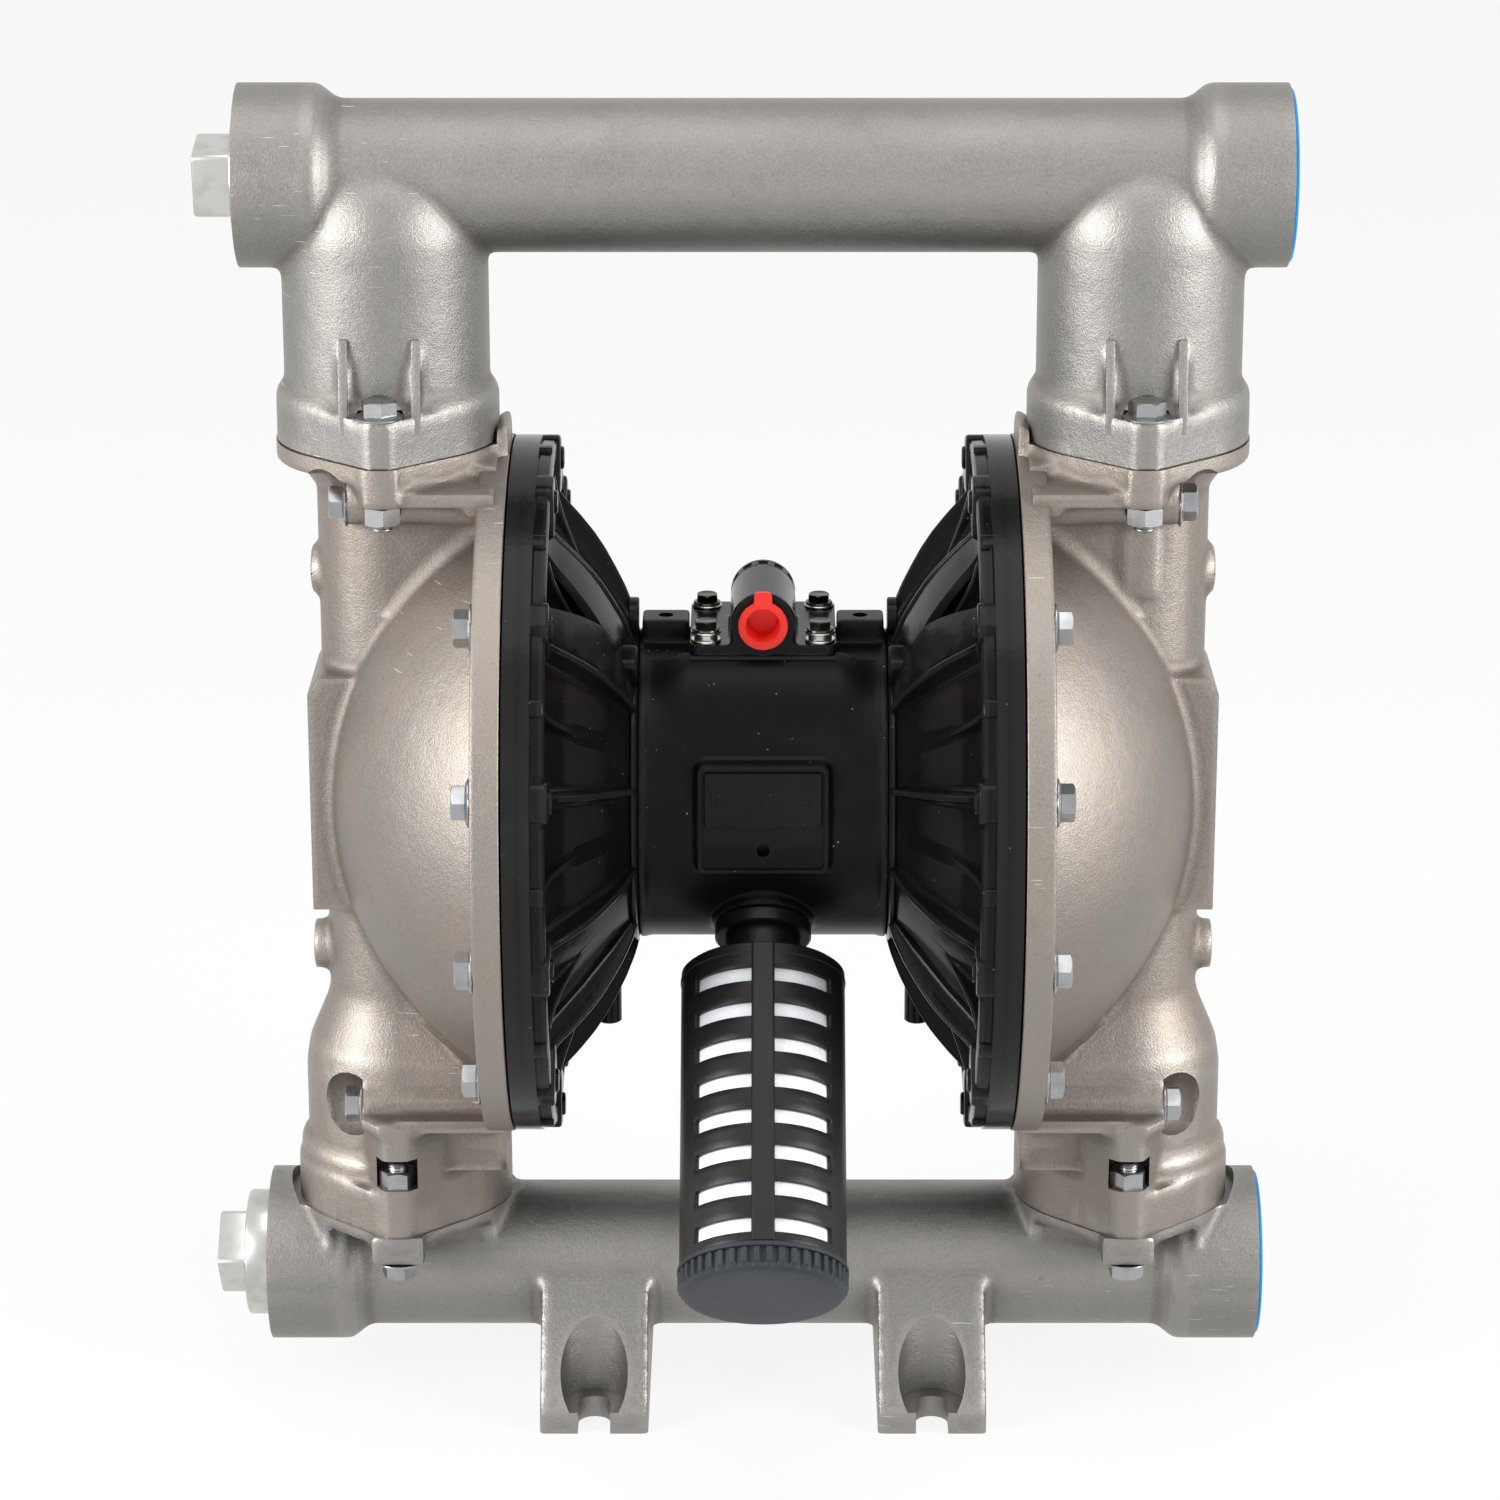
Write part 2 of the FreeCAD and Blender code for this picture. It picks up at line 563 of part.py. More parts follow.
# Outlet manifold, one casting from port to port
def outlet_half():
    axis = "outlet_axis_height"
    joint = "outlet_joint_height"
    cap = f"{joint} + elbow_rise"
    tube = rod("X", "tube_radius", "0", f"{FACE} - boss_length", "0", axis)
    riser = rod("Z", "elbow_radius", joint, cap, "column_offset")
    crown = ball("elbow_radius", "column_offset", "0", cap)
    bevel = taper("Z", "collar_radius", "elbow_radius", f"{joint} + collar_height",
                  f"{joint} + collar_height + 5", "column_offset")
    ribs = []
    for side in FRONT_BACK:
        profile = [("elbow_radius - 6", "6"), ("ear_offset + ear_radius / 2", "6"),
                   ("ear_offset + ear_radius / 2", "collar_height"), ("elbow_radius - 4", "gusset_height"),
                   ("elbow_radius - 6", "gusset_height")]
        profile = [(f"{side} * ({out})", up) for out, up in profile]
        for lean in ("-1", "1"):
            rib = slab(profile, "gusset_width", "YZ_Plane")
            ribs.append(place(rib, f"column_offset + {lean} * gusset_spacing / 2", "0", joint))
    solid = union(tube, port_end(axis), riser, crown, bevel, valve_flange(joint, "collar_height"), *ribs)
    inside = "elbow_radius - elbow_wall"
    hollow = union(rod("Z", inside, f"{joint} - past", cap, "column_offset"),
                   ball(inside, "column_offset", "0", cap))
    seat = rod("Z", "seat_radius + fit", f"{joint} - past", f"{joint} + seat_high", "column_offset")
    bolt_seats = [rod("Z", "washer_radius + room", f"{joint} + collar_height",
                      f"{joint} + collar_height + 14", "column_offset", f"{side} * ear_offset")
                  for side in FRONT_BACK]
    holes = valve_bolt_holes(f"{joint} - past", f"{joint} + collar_height + past")
    shell = minus(solid, hollow, seat, *holes, *bolt_seats)
    return union(shell, both(ball_stops(joint), rod("Z", f"{inside} + 2", joint, cap, "column_offset")))


node(with_ports(outlet_half(), "outlet_axis_height"), "top_manifold")


# Inlet manifold with its two feet
def inlet_half():
    axis = "inlet_axis_height"
    joint = "inlet_joint_height"
    low = f"{joint} - flange_depth"
    tube = rod("X", "tube_radius", "0", f"{FACE} - boss_length", "0", axis)
    saddle = block(("column_offset - saddle_half_width", "column_offset + saddle_half_width"),
                   ("-saddle_half_depth", "saddle_half_depth"), (axis, low))
    wings = []
    for lean in ("-1", "1"):
        profile = [(f"{lean} * (saddle_half_width - 2)", "0"), (f"{lean} * wing_top", "0"),
                   (f"{lean} * wing_foot", "-wing_height"),
                   (f"{lean} * (saddle_half_width - 2)", "-wing_height")]
        wings.append(place(slab(profile, "2 * wing_half_depth", "XZ_Plane"), "column_offset", "0", low))
    gussets = []
    for side in FRONT_BACK:
        profile = [(f"{side} * (tube_radius - 8)", "-flange_depth"),
                   (f"{side} * (ear_offset - 2)", "-flange_depth"),
                   (f"{side} * (tube_radius - 2)", "-flange_depth - 22"),
                   (f"{side} * (tube_radius - 8)", "-flange_depth - 22")]
        for lean in ("-1", "1"):
            rib = slab(profile, "gusset_width", "YZ_Plane")
            gussets.append(place(rib, f"column_offset + {lean} * gusset_spacing / 2", "0", joint))
    foot_profile = [("-foot_half_depth", "0"), ("foot_half_depth", "0"), ("foot_half_depth", "foot_lip"),
                    ("foot_shoulder", "foot_top"), ("-foot_shoulder", "foot_top"),
                    ("-foot_half_depth", "foot_lip")]
    foot = place(slab(foot_profile, "foot_width", "YZ_Plane"), "foot_offset")
    solid = union(tube, port_end(axis), saddle, foot, valve_flange(low, "flange_depth"), *gussets, *wings)
    tools = []
    tools.append(rod("Z", "seat_radius + fit", f"{joint} - seat_low", f"{joint} + past", "column_offset"))
    tools += valve_bolt_holes(f"{low} - past", f"{joint} + past")
    tools.append(rod("Z", "collar_radius + room", joint, f"{joint} + boss_radius", "column_offset"))
    for side in FRONT_BACK:
        center = f"{side} * foot_bolt_offset"
        tools.append(rod("Z", "foot_pocket_radius", "foot_lip", "foot_top", "foot_offset", center))
        slot_end = f"{side} * (foot_half_depth + past)"
        slot = slab([("-foot_slot_radius", center), ("foot_slot_radius", center),
                     ("foot_slot_radius", slot_end), ("-foot_slot_radius", slot_end)], "foot_lip + 2")
        tools.append(place(slot, "foot_offset", "0", "-past"))
        tools.append(rod("Z", "foot_slot_radius", "-past", "foot_lip + past", "foot_offset", center))
    return minus(solid, *tools)


riser = rod("Z", "riser_bore", "inlet_axis_height", "inlet_joint_height + past", "column_offset")
node(with_ports(inlet_half(), "inlet_axis_height", riser), "bottom_manifold")


# Fluid covers: ring flange, dome, valve column and both valve flanges in one casting
def cover_bolt_holes(angles, start, end, radius="bolt_radius + fit"):
    return [rod("X", radius, start, end, *at_angle(angle, "cover_circle")) for angle in angles]


def fluid_cover():
    ring_end = "ring_start + ring_thickness"
    top = "outlet_joint_height"
    low = "inlet_joint_height"
    ring = rod("X", "ring_radius", "ring_start", ring_end, "0", "shaft_height")
    half_space = rod("X", "ring_radius", f"{ring_end} - past", "dome_center + dome_radius + past", "0",
                     "shaft_height")
    dome = both(ball("dome_radius", "dome_center", "0", "shaft_height"), half_space)
    upper = rod("Z", "column_radius", "shaft_height", top, "column_offset")
    bulb = turned("Z", [
        ("0", "0"), ("collar_radius", "0"), ("collar_radius", "skirt_height"),
        ("bulb_radius", "skirt_height + 4"), ("bulb_radius", "bulb_shoulder - 4"),
        ("bulb_radius - 1", "bulb_shoulder + 3"), ("column_radius + 6", "bulb_shoulder + 16"),
        ("column_radius + 1.5", "bulb_top - 8"), ("column_radius", "bulb_top"),
        ("column_radius", "shaft_height - inlet_joint_height"), ("0", "shaft_height - inlet_joint_height")])
    place(bulb, "column_offset", "0", low)
    face_block = slab([
        ("0", "block_low"), ("block_face - column_offset", "block_low"),
        ("block_face - column_offset", "block_high"),
        ("column_radius - 1", "block_high + block_slope"), ("0", "block_high + block_slope")],
        "2 * block_half_depth", "XZ_Plane")
    place(face_block, "column_offset")
    forms = [ring, dome, upper, bulb, face_block,
             valve_flange(f"{top} - top_flange_depth", "top_flange_depth"),
             valve_flange(low, "window_low"),
             taper("Z", "column_radius", "collar_radius", f"{top} - top_flange_depth - 16",
                   f"{top} - top_flange_depth", "column_offset")]
    wall_top = f"{low} + ear_block_height"
    wall_room = block(("ring_start", "column_offset + wall_reach"), ("-ring_radius", "ring_radius"),
                      (low, wall_top))
    forms.append(both(valve_flange(low, "ear_block_height"), wall_room))
    for side in FRONT_BACK:
        forms.append(rod("Z", "ear_radius", f"{top} - top_ear_depth", top, "column_offset",
                         f"{side} * ear_offset"))
        inner = f"{side} * (shelf_half_depth - end_block_width)"
        outer = f"{side} * shelf_half_depth"
        shelf_top = f"{top} - top_ear_depth + shelf_thickness"
        forms.append(block((f"{ring_end} - past", f"{ring_end} + 5"),
                           (f"min({inner}; {outer})", f"max({inner}; {outer})"),
                           (f"{shelf_top} - end_block_depth", shelf_top)))
    shelf_x = (f"{ring_end} - 8", "column_offset")
    shelf_y = ("-shelf_half_depth", "shelf_half_depth")
    forms.append(block(shelf_x, shelf_y, (f"{top} - top_ear_depth", shelf_top)))
    forms.append(block(shelf_x, shelf_y, (f"{wall_top} - low_shelf_thickness", wall_top)))
    crown_end = "ring_start + crown_thickness"
    forms.append(both(rod("X", "crown_radius", "ring_start", crown_end, "0", "shaft_height"),
                      block(("ring_start - past", ring_end), ("-crown_half_width", "crown_half_width"),
                            ("shaft_height", "shaft_height + crown_radius + past"))))
    for angle in LONG_BOLT_ANGLES:
        forms.append(rod("X", "tube_boss_radius", f"{ring_end} - past", "tube_boss_end",
                         *at_angle(angle, "cover_circle")))
    forms.append(rod("X", "drain_boss_radius", "column_offset", "column_offset + column_radius + 7", "0",
                     "drain_boss_height"))
    forms.append(rod("X", "column_radius / 3", "column_offset",
                     "column_offset + column_radius + pad_relief", "0", "pad_height"))
    solid = union(*forms)
    inner = "dome_radius - dome_wall"
    chamber_side = rod("X", "ring_radius", "ring_start - past", "dome_center + dome_radius + past", "0",
                       "shaft_height")
    chamber = both(ball(inner, "dome_center", "0", "shaft_height"), chamber_side)
    stop_top = f"{low} + {BALL_TOP} + ball_lift + clearance + stop_depth"
    tools = [
        chamber,
        rod("Z", "column_bore", f"{low} + past", f"{top} + past", "column_offset"),
        rod("Z", "bulb_bore", f"{low} + seat_high - past", stop_top, "column_offset"),
        taper("Z", "bulb_bore", "column_bore", stop_top, f"{stop_top} + 18", "column_offset"),
        rod("Z", "seat_radius + fit", f"{low} - past", f"{low} + seat_high", "column_offset"),
        rod("Z", "seat_radius + fit", f"{top} - seat_low", f"{top} + past", "column_offset")]
    tools += valve_bolt_holes(f"{top} - top_ear_depth - past", f"{top} + past")
    tools += valve_bolt_holes(f"{low} - past", f"{low} + window_low + window_height + past")
    tools += cover_bolt_holes(COVER_ANGLES, "ring_start - past", "tube_boss_end + past")
    tools += cover_bolt_holes(LONG_BOLT_ANGLES, "tube_boss_end", "tube_boss_end + 16", "washer_radius + 0.8")
    nut_corner = "nut_width / 2 / cos(30)"
    tools += [rod("Z", f"{nut_corner} + 0.6", f"{top} - top_ear_depth - nut_height - 4",
                  f"{top} - top_ear_depth", "column_offset", f"{side} * ear_offset") for side in FRONT_BACK]
    for side in FRONT_BACK:
        near = f"min({side} * (ear_offset - ear_radius + 1.6); {side} * (ear_offset + ear_radius + 2))"
        far = f"max({side} * (ear_offset - ear_radius + 1.6); {side} * (ear_offset + ear_radius + 2))"
        tools.append(block(("column_offset - window_width / 2", "column_offset + window_width / 2"),
                           (near, far), (f"{low} + window_low", f"{low} + window_low + window_height")))
    shell = minus(solid, *tools)
    return union(shell, both(ball_stops(low), rod("Z", "bulb_bore + 2", low, stop_top, "column_offset")))


cover = fluid_cover()
node(mirrored(cover), "left_fluid_cover")
plate_pad = block(("column_offset - plate_pad_width / 2", "column_offset + plate_pad_width / 2"),
                  ("-column_radius - plate_pad_relief", "-column_radius / 2"),
                  ("pad_height - plate_pad_drop", "pad_height - plate_pad_drop + plate_pad_height"))
node(union(cover, plate_pad), "right_fluid_cover")


# Air covers: dished discs with a bolt lug and a long fin at each bolt
def air_cover():
    back = "air_ring_start"
    neck = "body_half_length"
    shell = turned("X", [
        (neck, "shaft_radius + 8"), (neck, "neck_radius"), (f"{neck} + 3", "neck_radius"),
        (f"{neck} + 4", "neck_radius - 3"), (f"{neck} + 14", "neck_radius + 14"),
        (f"{neck} + 28", "neck_radius + 34"), (f"{back} - 3", "lug_root - 6"), (back, "lug_root"),
        (back, "air_ring_radius"), ("ring_start - cover_gap", "air_ring_radius"),
        ("ring_start - cover_gap", "diaphragm_radius + fit"),
        ("ring_start - cover_gap - bead_recess", "diaphragm_radius + fit"),
        ("ring_start - cover_gap - bead_recess", "diaphragm_radius - bead_width"),
        (f"{back} + 2", "lug_root - 8"), (f"{neck} + 28 + air_wall * 0.6", "neck_radius + 29"),
        (f"{neck} + 14 + air_wall * 0.6", "neck_radius + 9"), (f"{neck} + 4 + air_wall", "neck_radius - 8"),
        (f"{neck} + 4 + air_wall", "shaft_radius + 8")])
    place(shell, "0", "0", "shaft_height")
    forms = [shell]
    rim = turned("X", [(f"{back} - rim_depth", "air_ring_radius - rim_width"),
                       (f"{back} - rim_depth", "air_ring_radius"), (f"{back} + past", "air_ring_radius"),
                       (f"{back} + past", "air_ring_radius - rim_width")])
    forms.append(place(rim, "0", "0", "shaft_height"))
    fin = slab([(f"{neck} + 0.5", "neck_radius - 4"), (f"{neck} + 0.5", "neck_radius"),
                (f"{neck} + 3.4", "neck_radius + 9"), (f"{neck} + 11.6", "neck_radius + 27"),
                (f"{neck} + 22", "neck_radius + 44"), (f"{back} - lug_depth", "lug_root + 4"),
                (f"{back} + past", "lug_root + 4"), (f"{back} + past", "lug_root - 4"),
                (f"{neck} + 28", "neck_radius + 32"), (f"{neck} + 14", "neck_radius + 11")],
               "fin_width", "XZ_Plane")
    lug = union(rod("X", "lug_radius", f"{back} - lug_depth", f"{back} + past", "0", "cover_circle"),
                block((f"{back} - lug_depth", f"{back} + 1"), ("-lug_radius + 1", "lug_radius - 1"),
                      ("lug_root", "cover_circle")))
    short_fin = slab([(f"{back} - 10", "short_fin_low"), (f"{back} - 6", "short_fin_high - 8"),
                      (f"{back} - 3", "short_fin_high"), (f"{back} + past", "short_fin_high"),
                      (f"{back} + past", "short_fin_high - 10"), (f"{back} - 8", "short_fin_low - 4")],
                     "fin_width", "XZ_Plane")
    for angle in COVER_ANGLES:
        forms.append(copy_at(fin, z="shaft_height", turn=Rotation(Vector(1, 0, 0), angle)))
        forms.append(copy_at(lug, z="shaft_height", turn=Rotation(Vector(1, 0, 0), angle)))
        forms.append(copy_at(short_fin, z="shaft_height", turn=Rotation(Vector(1, 0, 0), angle + 15)))
    neck_block = block((neck, f"{neck} + neck_block_length"),
                       ("-neck_block_width / 2", "neck_block_width / 2"),
                       ("neck_radius - neck_block_width", "neck_block_radius"))
    forms.append(place(group(neck_block), "0", "0", "shaft_height",
                       Rotation(Vector(1, 0, 0), NECK_BLOCK_TURN)))
    forms.append(rod("X", "neck_ear_radius", neck, f"{neck} + neck_ear_depth", "0",
                     "shaft_height + neck_ear_offset"))
    forms.append(rod("Z", "low_boss_radius", "shaft_height - low_boss_reach",
                     "shaft_height - neck_radius - 3 * low_boss_radius", "low_boss_offset"))
    tools = cover_bolt_holes(COVER_ANGLES, f"{back} - lug_depth - past", "ring_start")
    tools.append(rod("X", "pilot_radius + fit", neck + " - past", f"{neck} + 12", "pilot_back",
                     "shaft_height - pilot_drop"))
    return minus(union(*forms), *tools)


air_cover_right = air_cover()
node(air_cover_right, "right_air_cover")
node(mirrored(air_cover_right), "left_air_cover")

# Centre body with its deck for the air valve, two lugs and the framed panel
MUFFLER_TURN = Rotation(Vector(1, 0, 0), 135)


def muffler_line(piece):
    """Point a piece made along Z down and forwards from the shaft's middle."""
    return place(group(piece), "0", "0", "shaft_height", MUFFLER_TURN)


def center_body():
    half = "body_half_length"
    barrel = turned("X", [(f"-{half}", "0"), (f"-{half}", "body_radius"), (f"-{half} + 3", "body_radius"),
                          (f"-{half} + 4", "body_radius - 0.8"), (f"{half} - 4", "body_radius - 0.8"),
                          (f"{half} - 3", "body_radius"), (half, "body_radius"), (half, "0")])
    place(barrel, "0", "0", "shaft_height")
    deck = block(("-deck_half_width", "deck_half_width"), ("-deck_half_depth", "deck_half_depth"),
                 ("shaft_height", "deck_height"))
    panel_front = "-body_radius - panel_relief"
    panel_floor = f"{panel_front} + panel_depth"
    panel = minus(
        block(("-panel_half_width", "panel_half_width"), (panel_front, "0"), ("panel_low", "panel_high")),
        block(("-panel_half_width + panel_frame", "panel_half_width - panel_frame"),
              (f"{panel_front} - past", panel_floor),
              ("panel_low + panel_frame", "panel_high - panel_frame")))
    plate_half = "panel_half_width - panel_frame - panel_plate_gap"
    plate_top = "panel_high - panel_frame - panel_plate_gap"
    plate_front = f"{panel_floor} - panel_plate_relief"
    plate = block((f"-({plate_half})", plate_half), (plate_front, "0"),
                  (f"{plate_top} - panel_plate_height", plate_top))
    rivets = [rod("Y", "rivet_radius", f"{plate_front} - panel_plate_relief", "0", f"{side} * rivet_offset",
                  f"{plate_top} - panel_plate_height / 2") for side in SIDES.values()]
    exhaust_pad = muffler_line(rod("Z", "nipple_radius + 6", "0", "body_radius + 1.5"))
    lugs = []
    for side in ("-1", "1"):
        middle = f"{side} * body_lug_offset"
        lugs.append(block((f"{middle} - body_lug_width / 2", f"{middle} + body_lug_width / 2"),
                          ("-body_lug_half_depth", "body_lug_half_depth"), ("shaft_height", "body_lug_top")))
    tools = [
        block(("-deck_half_width", "deck_half_width"), ("-deck_half_depth", "deck_half_depth"),
              ("deck_height", "deck_height + 20")),
        rod("X", "shaft_radius + fit", f"-{half} - past", f"{half} + past", "0", "shaft_height"),
        rod("X", "sleeve_radius + fit", f"-{half} - past", f"{half} + past", "0", "spool_height"),
        rod("X", "pilot_radius + fit", f"-{half} - past", f"{half} + past", "pilot_back",
            "shaft_height - pilot_drop"),
        rod("Y", "plug_hole_radius", "-body_radius - 2 * past", "-body_radius + plug_hole_depth", "0",
            "panel_low + plug_hole_rise")]
    for side in SIDES.values():
        inner_end = f"{side} * ({half} - bushing_length - seal_length)"
        outer_end = f"{side} * ({half} + past)"
        tools.append(rod("X", "bushing_radius + fit", f"min({inner_end}; {outer_end})",
                         f"max({inner_end}; {outer_end})", "0", "shaft_height"))
        tools.append(rod("Z", "body_lug_hole", "body_lug_top - body_lug_hole_depth", "body_lug_top + past",
                         f"{side} * body_lug_offset"))
        for front in FRONT_BACK:
            tools.append(rod("Z", "valve_screw_radius + fit", "deck_height - 12", "deck_height + past",
                             f"{side} * valve_screw_x", f"{front} * valve_screw_y"))
    bore = muffler_line(rod("Z", "exhaust_bore", "20", "body_radius + 6"))
    thread = muffler_line(rod("Z", "nipple_radius + fit", "body_radius - 14", "body_radius + 6"))
    return minus(union(barrel, deck, panel, plate, *rivets, exhaust_pad, *lugs), bore, thread, *tools)


node(center_body(), "center_body")

# Diaphragm, plates, shaft and what guides it
clamp_start = "ring_start - bead_recess - cover_gap + fit"
sheet_start = "ring_start - 2"
sheet_end = f"{sheet_start} + diaphragm_sheet"


def diaphragm():
    rim = "diaphragm_radius - bead_width"
    body = turned("X", [
        (clamp_start, f"{rim} + fit"), (clamp_start, "diaphragm_radius"),
        ("ring_start - fit", "diaphragm_radius"),
        ("ring_start - fit", rim), (f"{sheet_end} + roll_height * 0.8", f"{rim} - 10"),
        (f"{sheet_end} + roll_height", f"{rim} - 17"), (f"{sheet_end} + roll_height * 0.8", f"{rim} - 24"),
        (sheet_end, f"{rim} - 36"), (sheet_end, "stud_radius + clearance"),
        (sheet_start, "stud_radius + clearance"), (sheet_start, f"{rim} - 36"),
        (f"{sheet_start} + roll_height * 0.8", f"{rim} - 24"),
        (f"{sheet_start} + roll_height", f"{rim} - 17"),
        (f"{sheet_start} + roll_height * 0.8", f"{rim} - 11")])
    return place(body, "0", "0", "shaft_height")


def outer_plate():
    face = f"{sheet_end} + clearance"
    body = turned("X", [
        (face, "0"), (face, "plate_radius - 3"), (f"{face} + 3", "plate_radius"),
        (f"{face} + plate_thickness * 0.6", "plate_radius - 4"),
        (f"{face} + plate_thickness", "plate_radius * 0.6"),
        (f"{face} + plate_thickness", "hub_radius"), (f"{face} + hub_height", "hub_radius - 6"),
        (f"{face} + hub_height", "0")])
    place(body, "0", "0", "shaft_height")
    return minus(body, rod("X", "stud_radius + fit", f"{face} - past", f"{face} + plate_thickness", "0",
                           "shaft_height"))


def inner_plate():
    face = f"{sheet_start} - clearance"
    body = turned("X", [
        (f"{face} - plate_thickness", "stud_radius + fit"),
        (f"{face} - plate_thickness", "inner_plate_radius * 0.7"),
        (f"{face} - plate_thickness * 0.5", "inner_plate_radius"), (f"{face} - 2", "inner_plate_radius"),
        (face, "inner_plate_radius - 2"), (face, "stud_radius + fit")])
    return place(body, "0", "0", "shaft_height")


for maker, name in ((diaphragm, "diaphragm"), (outer_plate, "outer_plate"), (inner_plate, "inner_plate")):
    right_piece = maker()
    node(right_piece, f"right_{name}")
    node(mirrored(right_piece), f"left_{name}")

plate_back = "ring_start - 2 - clearance - plate_thickness"
stud_end = f"{sheet_end} + clearance + plate_thickness - past"
shaft = union(rod("X", "shaft_radius", f"-({plate_back})", plate_back, "0", "shaft_height"),
              rod("X", "stud_radius", f"-({stud_end})", stud_end, "0", "shaft_height"))
node(shaft, "diaphragm_shaft")


def shaft_ring(start, end, bore_fit):
    body = turned("X", [(start, f"shaft_radius + {bore_fit}"), (start, "bushing_radius"),
                        (end, "bushing_radius"), (end, f"shaft_radius + {bore_fit}")])
    return place(body, "0", "0", "shaft_height")


bushing = shaft_ring("body_half_length - bushing_length", "body_half_length - fit", "fit")
seal = shaft_ring("body_half_length - bushing_length - seal_length + fit",
                  "body_half_length - bushing_length", "fit")
for piece, name in ((bushing, "shaft_bushing"), (seal, "shaft_seal")):
    node(piece, f"right_{name}")
    node(mirrored(piece), f"left_{name}")

pilot_end = f"{plate_back} - stroke + pilot_travel - clearance"
node(rod("X", "pilot_radius", f"-({pilot_end})", pilot_end, "pilot_back", "shaft_height - pilot_drop"),
     "pilot_rod")


# Check valves: a ball over a seat in each of the four joints
def valve_seat(joint):
    body = turned("Z", [
        ("seat_bore", "-seat_low"), ("seat_radius", "-seat_low"), ("seat_radius", "seat_high"),
        ("seat_bore + seat_high - seat_lip", "seat_high"), ("seat_bore", "seat_lip")])
    place(body, "column_offset", "0", joint)
    groove = add("Part::Torus", Radius1="seat_radius - ring_section", Radius2="ring_section + fit")
    place(groove, "column_offset", "0", f"{joint} + seat_high / 2")
    channel = minus(rod("Z", "seat_radius + past", f"{joint} + seat_high / 2 - ring_section - fit",
                        f"{joint} + seat_high / 2 + ring_section + fit", "column_offset"),
                    rod("Z", "seat_radius - 2 * ring_section - fit", f"{joint}", f"{joint} + seat_high",
                        "column_offset"))
    return minus(body, groove, channel)


def seal_ring(joint):
    ring = add("Part::Torus", Radius1="seat_radius - ring_section", Radius2="ring_section")
    return place(ring, "column_offset", "0", f"{joint} + seat_high / 2")


for level, joint in (("outlet", "outlet_joint_height"), ("inlet", "inlet_joint_height")):
    seat = valve_seat(joint)
    ring = seal_ring(joint)
    check_ball = ball("ball_radius", "column_offset", "0", f"{joint} + {BALL_CENTER}")
    node(seat, f"{level}_seat_right")
    node(mirrored(seat), f"{level}_seat_left")
    node(check_ball, f"{level}_ball_right")
    node(mirrored(check_ball), f"{level}_ball_left")
    node(group(ring, mirrored(ring)), f"{level}_seat_rings")


# Valve joint bolts and nuts, two at each joint
def on_ears(piece, height, turn=Rotation()):
    """Copies of a fastener at the four ears of one level."""
    return group(*[copy_at(piece, f"{x} * column_offset", f"{y} * ear_offset", height, turn)
                   for x in SIDES.values() for y in FRONT_BACK])


UPSIDE_DOWN = Rotation(Vector(1, 0, 0), 180)
plain_nut = nut()
outlet_grip = "collar_height + top_ear_depth"
outlet_bolt = flange_bolt(f"{outlet_grip} + nut_height + 1 + bolt_end")
node(on_ears(outlet_bolt, "outlet_joint_height + collar_height", UPSIDE_DOWN), "outlet_flange_bolts")
node(on_ears(plain_nut, "outlet_joint_height - top_ear_depth", UPSIDE_DOWN), "outlet_flange_nuts")
inlet_grip = "flange_depth + window_low"
inlet_bolt = flange_bolt(f"{inlet_grip} + nut_height + 1 + bolt_end")
node(on_ears(inlet_bolt, "inlet_joint_height - flange_depth"), "inlet_flange_bolts")
node(on_ears(plain_nut, "inlet_joint_height + window_low"), "inlet_flange_nuts")


# Cover bolts: heads on the fluid cover, screwed into the air cover's lugs
def cover_bolts(angles, seat, label):
    lug_end = "air_ring_start - lug_depth"
    bolt = flange_bolt(f"({seat}) - ({lug_end}) + 1.4")
    turn = Rotation(Vector(0, 1, 0), -90)
    copies = [copy_at(bolt, seat, *at_angle(angle, "cover_circle"), turn) for angle in angles]
    right = group(*copies)
    node(right, f"right_{label}")
    node(mirrored(right), f"left_{label}")


SHORT_BOLT_ANGLES = [angle for angle in COVER_ANGLES if angle not in LONG_BOLT_ANGLES]
cover_bolts(SHORT_BOLT_ANGLES, "ring_start + ring_thickness", "cover_bolts")
cover_bolts(LONG_BOLT_ANGLES, "tube_boss_end", "long_cover_bolts")


# Pipe plugs in the left ports and guard rings on the right ones
def centered_square(width, height):
    return slab([(f"-({width}) / 2", f"-({width}) / 2"), (f"({width}) / 2", f"-({width}) / 2"),
                 (f"({width}) / 2", f"({width}) / 2"), (f"-({width}) / 2", f"({width}) / 2")], height)


def square_plug(height, collar, head, lean):
    """A pipe plug in a left port: round body, square head turned by an angle."""
    body = rod("X", "plug_thread_radius - fit", f"-({FACE}) - ({collar})", f"-({FACE}) + plug_depth", "0",
               height)
    reach = f"({head}) + 4"
    corner_cut = rod("Z", "plug_head_width * 0.64", "0", reach)
    head_form = both(centered_square("plug_head_width", reach), corner_cut)
    turn = Rotation(Vector(0, 1, 0), -90).multiply(Rotation(Vector(0, 0, 1), lean))
    return union(body, copy_at(head_form, f"-({FACE}) - ({collar}) + 4", "0", height, turn))


node(square_plug("outlet_axis_height", "2", "outlet_plug_head", 10), "outlet_plug")
node(square_plug("inlet_axis_height", "inlet_plug_collar", "inlet_plug_head", 38), "inlet_plug")


def port_ring(height):
    """A thin ring that guards the machined face of an open port."""
    face = f"{FACE} + clearance"
    return minus(rod("X", "ring_guard_radius", face, f"{face} + ring_guard_thickness", "0", height),
                 rod("X", "ring_guard_bore", FACE, f"{face} + ring_guard_thickness + past", "0", height))


node(port_ring("outlet_axis_height"), "outlet_port_ring")
node(port_ring("inlet_axis_height"), "inlet_port_ring")


